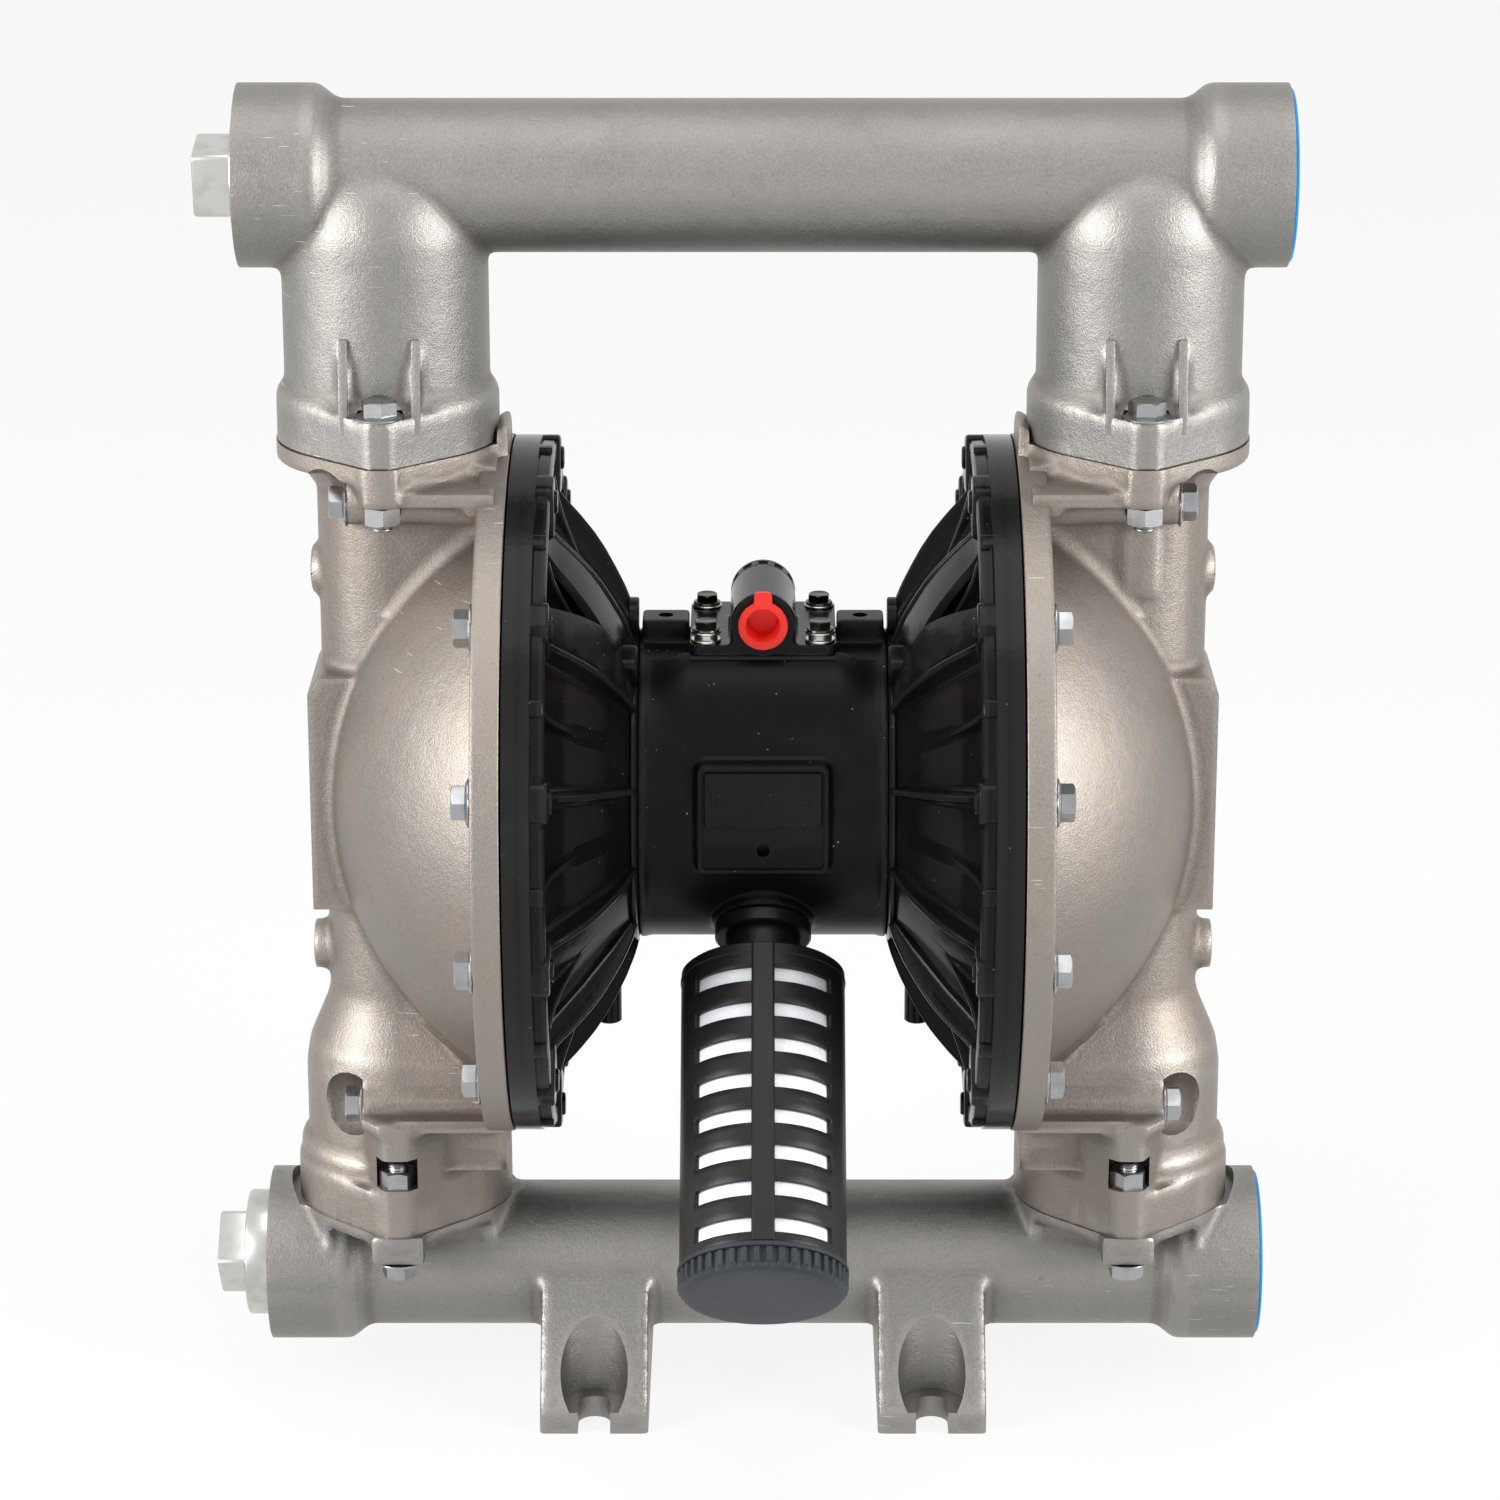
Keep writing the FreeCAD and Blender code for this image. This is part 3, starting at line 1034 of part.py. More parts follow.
# Air valve on the centre body: gasket, housing, end ring, cap, screws and washers
screw_places = [(f"{x} * valve_screw_x", f"{y} * valve_screw_y") for x in SIDES.values() for y in FRONT_BACK]
deck_x = ("-deck_half_width", "deck_half_width")
deck_y = ("-deck_half_depth", "deck_half_depth")
base_low = "deck_height + gasket_thickness"
base_high = f"{base_low} + valve_base"
feed_hole = rod("Z", "feed_radius", "deck_height - past", "inlet_height + 2")
gasket = block(deck_x, deck_y, ("deck_height", base_low))
screw_holes = [rod("Z", "valve_screw_radius + fit", "deck_height - past", f"{base_high} + past", x, y)
               for x, y in screw_places]
node(minus(gasket, feed_hole, *screw_holes), "valve_gasket")


def valve_housing():
    base = block(deck_x, deck_y, (base_low, base_high))
    barrel = rod("Y", "inlet_radius", "-inlet_front", "inlet_back", "0", "inlet_height")
    saddle = block(("-inlet_radius + past", "inlet_radius - past"), ("-inlet_front", "inlet_back"),
                   (base_low, "inlet_height"))
    inlet = rod("Y", "inlet_bore", "-inlet_front - past", "-inlet_front + inlet_depth", "0", "inlet_height")
    duct = rod("Y", "feed_radius + 1.5 * past", "-inlet_front + inlet_depth - past",
               "feed_radius + 2 * past", "0", "inlet_height")
    ring_room = rod("Y", "inlet_radius + fit", "inlet_back", "deck_half_depth + past", "0", "inlet_height")
    return minus(union(base, barrel, saddle), inlet, duct, feed_hole, ring_room, *screw_holes)


node(valve_housing(), "air_valve_housing")


def end_ring():
    """The ribbed ring that closes the barrel's back end."""
    ring = rod("Y", "inlet_radius", "inlet_back", "inlet_back + end_ring_length", "0", "inlet_height")
    notch = rod("Y", "end_notch_radius", "inlet_back + 1.5 * past", "inlet_back + end_ring_length + past")
    notches = []
    for step in range(END_NOTCH_COUNT):
        angle = 360 / END_NOTCH_COUNT * step
        notches.append(copy_at(notch, f"inlet_radius * cos({angle})", "0",
                               f"inlet_height + inlet_radius * sin({angle})"))
    hollow = rod("Y", "inlet_radius - end_ring_wall", "inlet_back + end_ring_wall",
                 "inlet_back + end_ring_length + past", "0", "inlet_height")
    return minus(ring, hollow, *notches)


node(end_ring(), "housing_end_ring")


def red_cap():
    front = "-inlet_front - clearance"
    flange = rod("Y", "cap_flange_radius", f"{front} - 2", front, "0", "inlet_height")
    stem = rod("Y", "inlet_bore - clearance", front, f"{front} + cap_length", "0", "inlet_height")
    tab = block(("-cap_tab_width / 2", "cap_tab_width / 2"), (f"{front} - 2", front),
                ("inlet_height + cap_flange_radius - 2", "inlet_height + cap_flange_radius + 5"))
    hollow = rod("Y", "cap_recess", f"{front} - 3", f"{front} + cap_length - 2", "0", "inlet_height")
    return minus(union(flange, stem, tab), hollow)


node(red_cap(), "air_inlet_cap")


def washer(radius, low, height):
    """A washer of an air valve screw, round the Z axis."""
    return minus(rod("Z", radius, low, f"{low} + {height}"),
                 rod("Z", "valve_screw_radius + fit", f"{low} - past", f"{low} + {height} + past"))


screw_seat = f"{base_high} + valve_washer_height"
front_rise = "spring_washer_height + valve_washer_height"
flat_washer = washer("valve_head_radius + 1.5", base_high, "valve_washer_height")
spring_washer = washer("valve_head_radius", screw_seat, "spring_washer_height")
head = add("Part::Prism", Circumradius="valve_head_radius", Height="valve_head_height")
head.Polygon = 6
place(head, z=screw_seat)
head_flange = taper("Z", "valve_head_radius + 1", "valve_head_radius", screw_seat, f"{screw_seat} + 1.5")
screw = union(head, head_flange, rod("Z", "valve_screw_radius", "deck_height - 10 + valve_washer_height",
                                     f"{screw_seat} + past"))
washers = []
screws = []
for x, y in screw_places:
    in_front = y.startswith("-")
    washers.append(copy_at(flat_washer, x, y))
    screws.append(copy_at(screw, x, y, front_rise if in_front else "0"))
    if in_front:
        washers += [copy_at(spring_washer, x, y), copy_at(flat_washer, x, y, front_rise)]
node(group(*washers), "valve_washers")
node(group(*screws), "valve_screws")

# Spool in its sleeve, with a plug at each end of the bore
sleeve_end = "body_half_length - valve_plug_length - fit"


def spool_sleeve():
    tube = rod("X", "sleeve_radius", f"-({sleeve_end})", sleeve_end, "0", "spool_height")
    bore = rod("X", "spool_radius + fit", "-body_half_length", "body_half_length", "0", "spool_height")
    ports = [rod("Z", "spool_port_radius", "spool_height - sleeve_radius - past",
                 "spool_height + sleeve_radius + past", f"{step} * spool_port_pitch")
             for step in range(-2, 3)]
    return minus(tube, bore, *ports)


node(spool_sleeve(), "spool_sleeve")
spool_end = "body_half_length - valve_plug_length - spool_travel - clearance"
spool_forms = [rod("X", "spool_waist", f"-({spool_end})", spool_end, "0", "spool_height")]
for middle in (f"-({spool_end}) + spool_land / 2", "-spool_port_pitch + past", "spool_port_pitch - past",
               f"{spool_end} - spool_land / 2"):
    spool_forms.append(rod("X", "spool_radius", f"{middle} - spool_land / 2", f"{middle} + spool_land / 2",
                           "0", "spool_height"))
node(union(*spool_forms), "spool")
valve_plug = rod("X", "sleeve_radius", "body_half_length - valve_plug_length", "body_half_length - fit", "0",
                 "spool_height")
node(group(valve_plug, mirrored(valve_plug)), "spool_bore_plugs")

# Muffler, made along Z and pointed down and forwards
muffler_end = "muffler_start + muffler_length"


def nipple():
    tube = union(rod("Z", "nipple_radius", "body_radius - 13", "muffler_start + 6"),
                 rod("Z", "nipple_radius + 5", "body_radius + 2", "body_radius + 9"))
    return minus(tube, rod("Z", "exhaust_bore", "body_radius - 14", "muffler_start + 7"))


def muffler_cage():
    body = rod("Z", "muffler_radius", "muffler_start", muffler_end)
    inside = rod("Z", "muffler_radius - muffler_wall", "muffler_start + muffler_roof",
                 f"{muffler_end} + past")
    entry = rod("Z", "nipple_radius + fit", "muffler_start - past", "muffler_start + muffler_roof + past")
    bar = block(("-muffler_bar_width / 2", "muffler_bar_width / 2"),
                ("muffler_radius - muffler_wall / 2", "muffler_radius + muffler_bar_relief"),
                ("muffler_start", muffler_end))
    slots = []
    for start in ("slot_start_angle", "-slot_start_angle - slot_sweep",
                  "180 + slot_start_angle", "180 - slot_start_angle - slot_sweep"):
        for row in range(SLOT_ROWS):
            sector = add("Part::Cylinder", Radius="muffler_radius + muffler_roof", Height="slot_height",
                         Angle="slot_sweep")
            place(sector, z=f"muffler_start + slot_first + {row} * slot_pitch",
                  turn=Rotation(Vector(0, 0, 1), 90 + number(start)))
            slots.append(sector)
    return minus(union(body, bar), inside, entry, *slots)


def muffler_element():
    reach = "muffler_radius - muffler_wall - sleeve_gap"
    sleeve = rod("Z", reach, "muffler_start + muffler_roof", muffler_end)
    return minus(sleeve, rod("Z", f"{reach} - sleeve_wall", "muffler_start", f"{muffler_end} + past"))


def muffler_cap():
    disc = rod("Z", "muffler_radius + muffler_cap_step", muffler_end, f"{muffler_end} + muffler_cap_length")
    groove = rod("Z", "grip_radius", f"{muffler_end} + past", f"{muffler_end} + muffler_cap_length + past")
    grooves = []
    reach = "muffler_radius + muffler_cap_step + grip_radius / 4"
    for step in range(GRIP_COUNT):
        angle = 360 / GRIP_COUNT * step
        grooves.append(copy_at(groove, f"({reach}) * cos({angle})", f"({reach}) * sin({angle})"))
    return minus(disc, *grooves)


for maker, label in ((nipple, "muffler_nipple"), (muffler_cage, "muffler_cage"),
                     (muffler_element, "muffler_element"), (muffler_cap, "muffler_end_cap")):
    node(muffler_line(maker()), label)

# Build, test every object and write one file for each sub-part
document.recompute()
for item in document.Objects:
    if "Invalid" in item.State or "Error" in item.State:
        raise RuntimeError(f"{item.Label} failed: {item.State}")
os.makedirs("parts", exist_ok=True)
for piece in nodes:
    shape = piece.Shape
    if shape.isNull() or not shape.isValid():
        raise RuntimeError(f"{piece.Label} has no valid shape")
    shape.exportStep(f"parts/{piece.Label}.step")
print(f"{len(nodes)} sub-parts written")
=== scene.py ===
"""Looks of an air operated diaphragm pump: satin castings, a black air section, bright bolts.

The surfaces are worked out with numpy in millimetres and stand in metres, where the frame's parts are.
"""

import math

import bmesh
import bpy
import numpy as np
from mathutils import Matrix, Vector


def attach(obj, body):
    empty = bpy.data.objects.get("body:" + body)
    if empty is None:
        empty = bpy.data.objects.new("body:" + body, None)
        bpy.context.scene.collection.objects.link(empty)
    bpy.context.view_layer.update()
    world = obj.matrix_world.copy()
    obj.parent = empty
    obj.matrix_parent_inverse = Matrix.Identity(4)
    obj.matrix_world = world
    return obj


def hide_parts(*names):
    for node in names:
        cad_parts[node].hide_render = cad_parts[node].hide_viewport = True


bl_info = {
    "name": "Diaphragm pump looks",
    "version": (1, 0, 0),
    "blender": (4, 5, 0),
    "location": "View3D > Sidebar > Pump",
    "description": "Builds the castings, fasteners and finishes of a diaphragm pump",
    "category": "Object",
}

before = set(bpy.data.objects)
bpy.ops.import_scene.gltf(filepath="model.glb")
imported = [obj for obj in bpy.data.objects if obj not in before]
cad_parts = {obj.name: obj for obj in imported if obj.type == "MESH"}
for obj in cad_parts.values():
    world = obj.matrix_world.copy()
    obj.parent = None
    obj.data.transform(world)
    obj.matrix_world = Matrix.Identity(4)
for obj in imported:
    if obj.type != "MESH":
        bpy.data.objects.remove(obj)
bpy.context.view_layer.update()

MM = 0.001
WHITE = (1.0, 1.0, 1.0)
SIGNS = (-1, 1)
SIDES = ((1, "right"), (-1, "left"))
COVER_ANGLES = [15 + 30 * step for step in range(12)]
LONG_BOLT_ANGLES = (75, 105, 255, 285)
SHORT_BOLT_ANGLES = [angle for angle in COVER_ANGLES if angle not in LONG_BOLT_ANGLES]

# Places shared with the frame, in millimetres
SHAFT_HEIGHT = 304.4
COLUMN_X = 173.5
OUTLET_AXIS = 596.2
INLET_AXIS = 62.0
OUTLET_JOINT = 474.0
INLET_JOINT = 97.0
FACE_X = 239.0
COVER_CIRCLE = 153.5
COVER_BACK = 117.0
COVER_FACE = 130.0
LONG_BOLT_SEAT = 190.0
VALVE_HEIGHT = 393.0
LUG_X = 45.5
FOOT_X = 81.0
FOOT_SLOT_Y = 63.5
OUTLET_HEAD_SEAT = OUTLET_JOINT + 22
OUTLET_NUT_SEAT = OUTLET_JOINT - 19
INLET_HEAD_SEAT = INLET_JOINT - 14.4
INLET_NUT_SEAT = INLET_JOINT + 24

# Forms that several castings share, in millimetres
DOME_CENTRE = 44.2
CHAMBER_RADIUS = 153.8
EAR_FRONT = 64.5


def length(name, default, description):
    return bpy.props.FloatProperty(name=name, description=description, default=default, min=0.1)


def colour(name, default, description):
    return bpy.props.FloatVectorProperty(
        name=name, description=description, default=default, size=3, min=0, max=1, subtype="COLOR")


class PumpCastings(bpy.types.PropertyGroup):
    """Sizes of the castings, in millimetres."""
    tube_radius: length("Manifold tube", 35, "Outside radius of the manifold tubes")
    boss_radius: length("Port boss", 42, "Outside radius of the threaded ports")
    thread_radius: length("Port thread", 28.3, "Minor radius of the port thread")
    tube_bore: length("Tube bore", 27, "Inside radius of the manifold tubes")
    elbow_radius: length("Elbow", 47.5, "Outside radius of the outlet elbows")
    collar_radius: length("Valve flange", 51.5, "Round part of the valve flanges")
    ear_offset: length("Ear", 55, "Valve bolt from the column axis")
    ear_radius: length("Ear radius", 10.5, "Ear round the valve bolt")
    dome_radius: length("Dome", 160.8, "Outside radius of the fluid chamber")
    column_radius: length("Column", 34, "Valve column")
    bulb_radius: length("Bulb", 46.5, "Inlet ball chamber")
    voxel: length("Casting grain", 2.0, "Mesh size of the castings")


class PumpFasteners(bpy.types.PropertyGroup):
    """Sizes of the bolts and nuts, in millimetres."""
    head_width: length("Bolt head", 15, "Across the flats")
    head_height: length("Head height", 6.5, "Hexagon above its washer face")
    washer_radius: length("Washer face", 11.2, "Outside radius of the washer face")
    washer_height: length("Washer height", 2, "Thickness of the washer face")
    nut_width: length("Nut", 16, "Across the flats")
    nut_height: length("Nut height", 8.4, "Thickness of a nut")
    shank_radius: length("Shank", 5, "Bolt shank")


class PumpFinishes(bpy.types.PropertyGroup):
    """Colours of the finishes."""
    manifold: colour("Manifold steel", (0.245, 0.236, 0.223), "Blasted cast steel")
    cover: colour("Cover steel", (0.242, 0.219, 0.198), "Blasted cast steel, warmer")
    bright: colour("Bright steel", (0.37, 0.375, 0.38), "Bolts and nuts")
    black: colour("Black coat", (0.0045, 0.0045, 0.005), "Coat of the air section")
    cage: colour("Muffler plastic", (0.009, 0.009, 0.0095), "Muffler cage")
    cap: colour("Cap plastic", (0.022, 0.026, 0.031), "Muffler end cap")
    filter: colour("Filter sleeve", (0.88, 0.89, 0.92), "White filter sleeve")
    red: colour("Red plastic", (0.86, 0.035, 0.025), "Air inlet cap")
    blue: colour("Blue plastic", (0.012, 0.26, 0.66), "Guard rings of the open ports")


# Forms are pairs of a point array and a list of faces, in millimetres
def grid_form(points):
    """Quads over a grid of points [along, around], joined round its second index."""
    along, around = points.shape[:2]
    index = np.arange(along * around).reshape(along, around)
    following = np.roll(index, -1, axis=1)
    quads = np.stack([index[:-1], following[:-1], following[1:], index[1:]], axis=-1)
    return points.reshape(-1, 3), quads.reshape(-1, 4).tolist()


def closed_form(points):
    """Such a grid with a face over its first row and another over its last."""
    form, faces = grid_form(points)
    around, count = points.shape[1], len(form)
    return form, faces + [list(range(around)), list(range(count - around, count))]


def on_axis(axis, along, first, second):
    """Stacks coordinates so that `along` runs on the axis and the two others follow it."""
    order = {"X": (along, first, second), "Y": (first, along, second), "Z": (first, second, along)}
    return np.stack(np.broadcast_arrays(*order[axis]), axis=-1).astype(float)


def whole_turn(steps):
    """Angles all the way round."""
    return np.linspace(0, 2 * math.pi, steps, endpoint=False)


def revolved(axis, level, radius, steps, center=(0, 0, 0)):
    """Rings at levels along an axis, whose points stand at radius * (cos a, sin a) from it."""
    angle = whole_turn(steps)
    points = on_axis(axis, level, radius * np.cos(angle), radius * np.sin(angle))
    return grid_form(points + np.asarray(center, float))


def lathe(axis, profile, center=(0, 0, 0), steps=96):
    """A turned form: each profile point (along, radius) makes one ring."""
    level, radius = np.asarray(profile, float).T[:, :, None]
    return revolved(axis, level, radius, steps, center)


def waved_lathe(axis, rings, wave, center=(0, 0, 0)):
    """A turned form with a wave round it: a ring (along, radius, share) has the radius + share * wave."""
    level, radius, share = np.asarray(rings, float).T[:, :, None]
    return revolved(axis, level, radius + share * wave, len(wave), center)


def rod(axis, radius, start, end, center=(0, 0, 0), steps=64):
    return lathe(axis, [(start, 0), (start, radius), (end, radius), (end, 0)], center, steps)


def sphere(radius, center, steps=96):
    """Latitude rings: height radius * sin t and ring radius radius * cos t."""
    tilt = np.linspace(-math.pi / 2, math.pi / 2, steps // 2)
    return lathe("X", np.column_stack([radius * np.sin(tilt), radius * np.cos(tilt)]), center, steps)


def extrude(axis, outline, low, high):
    """A flat outline carried along an axis, closed by its two end faces."""
    across, up = np.asarray(outline, float).T
    return closed_form(np.stack([on_axis(axis, level, across, up) for level in (low, high)]))


def layered(axis, outline, levels):
    """A convex outline stacked at levels (along, inset): each inset shrinks it towards its middle."""
    outline = np.asarray(outline, float)
    middle = outline.mean(axis=0)
    reach = np.abs(outline - middle).max()
    rings = []
    for along, inset in levels:
        across, up = ((outline - middle) * (1 - inset / reach) + middle).T
        rings.append(on_axis(axis, along, across, up))
    return closed_form(np.stack(rings))


def box(x, y, z):
    return extrude("Z", [(x[0], y[0]), (x[1], y[0]), (x[1], y[1]), (x[0], y[1])], *z)


def off_middle(side, near, far):
    """The range between two distances from the middle, on one side."""
    return sorted((side * near, side * far))


def rounded(outline, radius, steps=6):
    """Each corner is replaced by a quadratic curve that starts and ends at `radius` from it."""
    outline = np.asarray(outline, float)
    before = outline - np.roll(outline, 1, axis=0)
    after = np.roll(outline, -1, axis=0) - outline
    before /= np.linalg.norm(before, axis=1, keepdims=True)
    after /= np.linalg.norm(after, axis=1, keepdims=True)
    part = np.linspace(0, 1, steps)[None, :, None]
    start = (outline - radius * before)[:, None]
    end = (outline + radius * after)[:, None]
    middle = outline[:, None]
    return ((1 - part) ** 2 * start + 2 * part * (1 - part) * middle + part ** 2 * end).reshape(-1, 2)


def rounded_plate(half_width, low, high, corner, steps=6):
    """The outline of a plate with rounded corners, as wide to the left as to the right."""
    corners = [(-half_width, low), (half_width, low), (half_width, high), (-half_width, high)]
    return rounded(corners, corner, steps)


def eared_outline(big, small, offset):
    """The outline of a round flange with two ears: arcs of both radii joined by their tangents."""
    lean = math.asin((big - small) / offset)
    side = np.linspace(-lean, lean, 16)
    ear = np.linspace(lean, math.pi - lean, 16)
    right = np.column_stack([big * np.cos(side), big * np.sin(side)])
    back = np.column_stack([small * np.cos(ear), offset + small * np.sin(ear)])
    return np.vstack([right, back, -right, -back])


def moved(form, matrix):
    points, faces = form
    matrix = np.array(matrix)
    return points @ matrix[:3, :3].T + matrix[:3, 3], faces


def shifted(form, x=0, y=0, z=0):
    return form[0] + np.array([x, y, z], float), form[1]


def mirrored(form):
    return form[0] * np.array([-1.0, 1.0, 1.0]), [face[::-1] for face in form[1]]


def mirror_all(forms):
    return [mirrored(form) for form in forms]


def both_sides(forms):
    return forms + mirror_all(forms)


def turned_about_shaft(form, degrees):
    """The form turned about the shaft's axis."""
    return moved(form, Matrix.Rotation(math.radians(degrees), 4, "X"))


def joined(forms):
    points, faces, count = [], [], 0
    for form_points, form_faces in forms:
        points.append(form_points)
        faces += [[index + count for index in face] for face in form_faces]
        count += len(form_points)
    return np.vstack(points), faces


def new_object(name, forms):
    """A mesh object in metres, with its poles merged and its faces turned outwards."""
    points, faces = joined(forms)
    mesh = bpy.data.meshes.new(name)
    mesh.from_pydata((points * MM).tolist(), [], faces)
    work = bmesh.new()
    work.from_mesh(mesh)
    bmesh.ops.remove_doubles(work, verts=work.verts, dist=1e-6)
    bmesh.ops.dissolve_degenerate(work, edges=work.edges, dist=1e-7)
    bmesh.ops.recalc_face_normals(work, faces=work.faces)
    work.to_mesh(mesh)
    work.free()
    piece = bpy.data.objects.new(name, mesh)
    bpy.context.scene.collection.objects.link(piece)
    return piece


def apply_modifiers(piece):
    """Bakes the modifiers into the mesh."""
    graph = bpy.context.evaluated_depsgraph_get()
    mesh = bpy.data.meshes.new_from_object(piece.evaluated_get(graph))
    piece.modifiers.clear()
    old = piece.data
    piece.data = mesh
    bpy.data.meshes.remove(old)


def smooth_shading(piece, degrees=35):
    mesh = piece.data
    mesh.polygons.foreach_set("use_smooth", np.ones(len(mesh.polygons), bool))
    mesh.set_sharp_from_angle(angle=math.radians(degrees))


def neighbour_mean(values, edges, count):
    """The mean of each point's neighbours along the mesh's edges."""
    total = np.zeros((count,) + values.shape[1:])
    number = np.zeros(count)
    for here, there in ((edges[:, 0], edges[:, 1]), (edges[:, 1], edges[:, 0])):
        np.add.at(total, here, values[there])
        np.add.at(number, here, 1)
    number = np.maximum(number, 1)
    return total / number.reshape((-1,) + (1,) * (values.ndim - 1))


def mark_hollows(piece, passes=4):
    """An attribute from the mean curvature: above half in hollows, below half on edges."""
    mesh = piece.data
    count = len(mesh.vertices)
    points = np.empty(count * 3)
    mesh.vertices.foreach_get("co", points)
    points = points.reshape(-1, 3)
    normals = np.empty(count * 3)
    mesh.vertex_normals.foreach_get("vector", normals)
    edges = np.empty(len(mesh.edges) * 2, int)
    mesh.edges.foreach_get("vertices", edges)
    edges = edges.reshape(-1, 2)
    bend = np.einsum("ij,ij->i", neighbour_mean(points, edges, count) - points, normals.reshape(-1, 3))
    bend = np.clip(bend / (0.15 * MM), -1, 1)
    for _ in range(passes):
        bend = 0.5 * bend + 0.5 * neighbour_mean(bend, edges, count)
    attribute = mesh.attributes.get("hollow") or mesh.attributes.new("hollow", "FLOAT", "POINT")
    attribute.data.foreach_set("value", np.clip(0.5 + bend, 0, 1))


def combine(piece, operation, groups):
    """Adds groups of forms to a piece or cuts them out of it; the forms of a group don't touch each other."""
    for number, group in enumerate(groups):
        tool = new_object(f"{piece.name}_tool_{number}", group)
        change = piece.modifiers.new("Change", "BOOLEAN")
        change.operation = operation
        change.solver = "MANIFOLD"
        change.object = tool
        apply_modifiers(piece)
        bpy.data.objects.remove(tool)


def cast(name, forms, cuts, voxel, passes, keep=1.0):
    """A casting: overlapping forms are fused on a fine grid, their corners relaxed, then cuts are machined.

    Below 1, `keep` is the share of the faces that stay.
    """
    piece = new_object(name, forms)
    fuse = piece.modifiers.new("Fuse", "REMESH")
    fuse.mode = "VOXEL"
    fuse.voxel_size = voxel * MM
    relax = piece.modifiers.new("Relax", "SMOOTH")
    relax.iterations = passes
    relax.factor = 0.5
    if keep < 1:
        thin = piece.modifiers.new("Thin", "DECIMATE")
        thin.ratio = keep
    apply_modifiers(piece)
    combine(piece, "DIFFERENCE", cuts)
    smooth_shading(piece)
    mark_hollows(piece)
    return piece


def finish_piece(piece, finish, body, slot, *nodes):
    """Gives a piece its material and its body, and hides the frame's parts that it stands for."""
    piece.data.materials.clear()
    piece.data.materials.append(Finish.get(finish))
    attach(piece, body)
    if nodes:
        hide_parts(*nodes)


def dressed(name, forms, degrees, finish, body, slot, node):
    """A new piece from its forms, smooth up to an angle between faces, with its finish."""
    piece = new_object(name, forms)
    smooth_shading(piece, degrees)
    finish_piece(piece, finish, body, slot, node)


class Socket:
    """A shader value that can be written in expressions."""

    def __init__(self, shader, output):
        self.shader = shader
        self.output = output

    def _math(self, operation, *values):
        return self.shader.node("ShaderNodeMath", {"operation": operation}, *values)

    def __add__(self, other):
        return self._math("ADD", self, other)

    def __sub__(self, other):
        return self._math("SUBTRACT", self, other)

    def __mul__(self, other):
        return self._math("MULTIPLY", self, other)

    def __radd__(self, other):
        return self._math("ADD", other, self)

    def __rsub__(self, other):
        return self._math("SUBTRACT", other, self)

    def __rmul__(self, other):
        return self._math("MULTIPLY", other, self)

    def ramp(self, low, high, first=0.0, last=1.0):
        """The value mapped from low..high to first..last, smooth and clamped."""
        return self.shader.node("ShaderNodeMapRange", {"interpolation_type": "SMOOTHSTEP"},
                                self, low, high, first, last)


class Shader:
    """Builds the nodes of a material or of the world."""

    def __init__(self, owner):
        owner.use_nodes = True
        self.owner = owner
        self.tree = owner.node_tree
        self.tree.nodes.clear()

    def node(self, kind, settings, *values, output=0, **named):
        """A node of a kind with its settings, and the values or links of its sockets."""
        node = self.tree.nodes.new(kind)
        for key, value in settings.items():
            setattr(node, key, value)
        for key, value in list(enumerate(values)) + list(named.items()):
            socket = node.inputs[key if isinstance(key, int) else key.replace("_", " ")]
            if isinstance(value, Socket):
                self.tree.links.new(value.output, socket)
            elif value is not None:
                socket.default_value = (*value, 1) if socket.type == "RGBA" else value
        return Socket(self, node.outputs[output]) if len(node.outputs) else None

    def seen_rays(self):
        """1 for a ray that looks at the surroundings: a camera, glossy or transmission ray."""
        camera, glossy, transmission = (self.node("ShaderNodeLightPath", {}, output=f"Is {kind} Ray")
                                        for kind in ("Camera", "Glossy", "Transmission"))
        return self.node("ShaderNodeMath", {"operation": "MINIMUM"}, camera + glossy + transmission, 1.0)

    def close(self, surface, kind="ShaderNodeOutputMaterial"):
        """Links the surface to the output, and gives back the material or the world."""
        self.node(kind, {}, surface)
        return self.owner


class PieceShader(Shader):
    """Builds a piece's material from patterns on its Object coordinates."""

    def __init__(self, name):
        super().__init__(bpy.data.materials.new(name))
        self.place = self.node("ShaderNodeTexCoord", {}, output="Object")

    def noise(self, scale, detail, roughness, vector=None):
        return self.node("ShaderNodeTexNoise", {}, Vector=vector or self.place, Scale=scale, Detail=detail,
                         Roughness=roughness)

    def stretched(self, x, y, z):
        """The place with its axes scaled, for marks that run one way."""
        return self.node("ShaderNodeMapping", {}, Vector=self.place, Scale=(x, y, z))

    def cells(self, scale):
        return self.node("ShaderNodeTexVoronoi", {}, Vector=self.place, Scale=scale)

    def mix(self, factor, first, second):
        """A colour between two; of a Mix node's sockets, 6 and 7 are its colours and output 2 their mix."""
        return self.node("ShaderNodeMix", {"data_type": "RGBA"}, factor, *[None] * 5, first, second, output=2)

    def attribute(self, name):
        return self.node("ShaderNodeAttribute", {"attribute_name": name}, output="Fac")

    def bump(self, height, distance, strength, normal=None):
        return self.node("ShaderNodeBump", {}, Height=height, Distance=distance, Strength=strength,
                         Normal=normal)

    def finished(self, **values):
        """The material, with the values or links of its surface's sockets."""
        return self.close(self.node("ShaderNodeBsdfPrincipled", {}, **values))


def shade(values, factor):
    """A colour made lighter or darker."""
    return tuple(min(1.0, value * factor) for value in values)


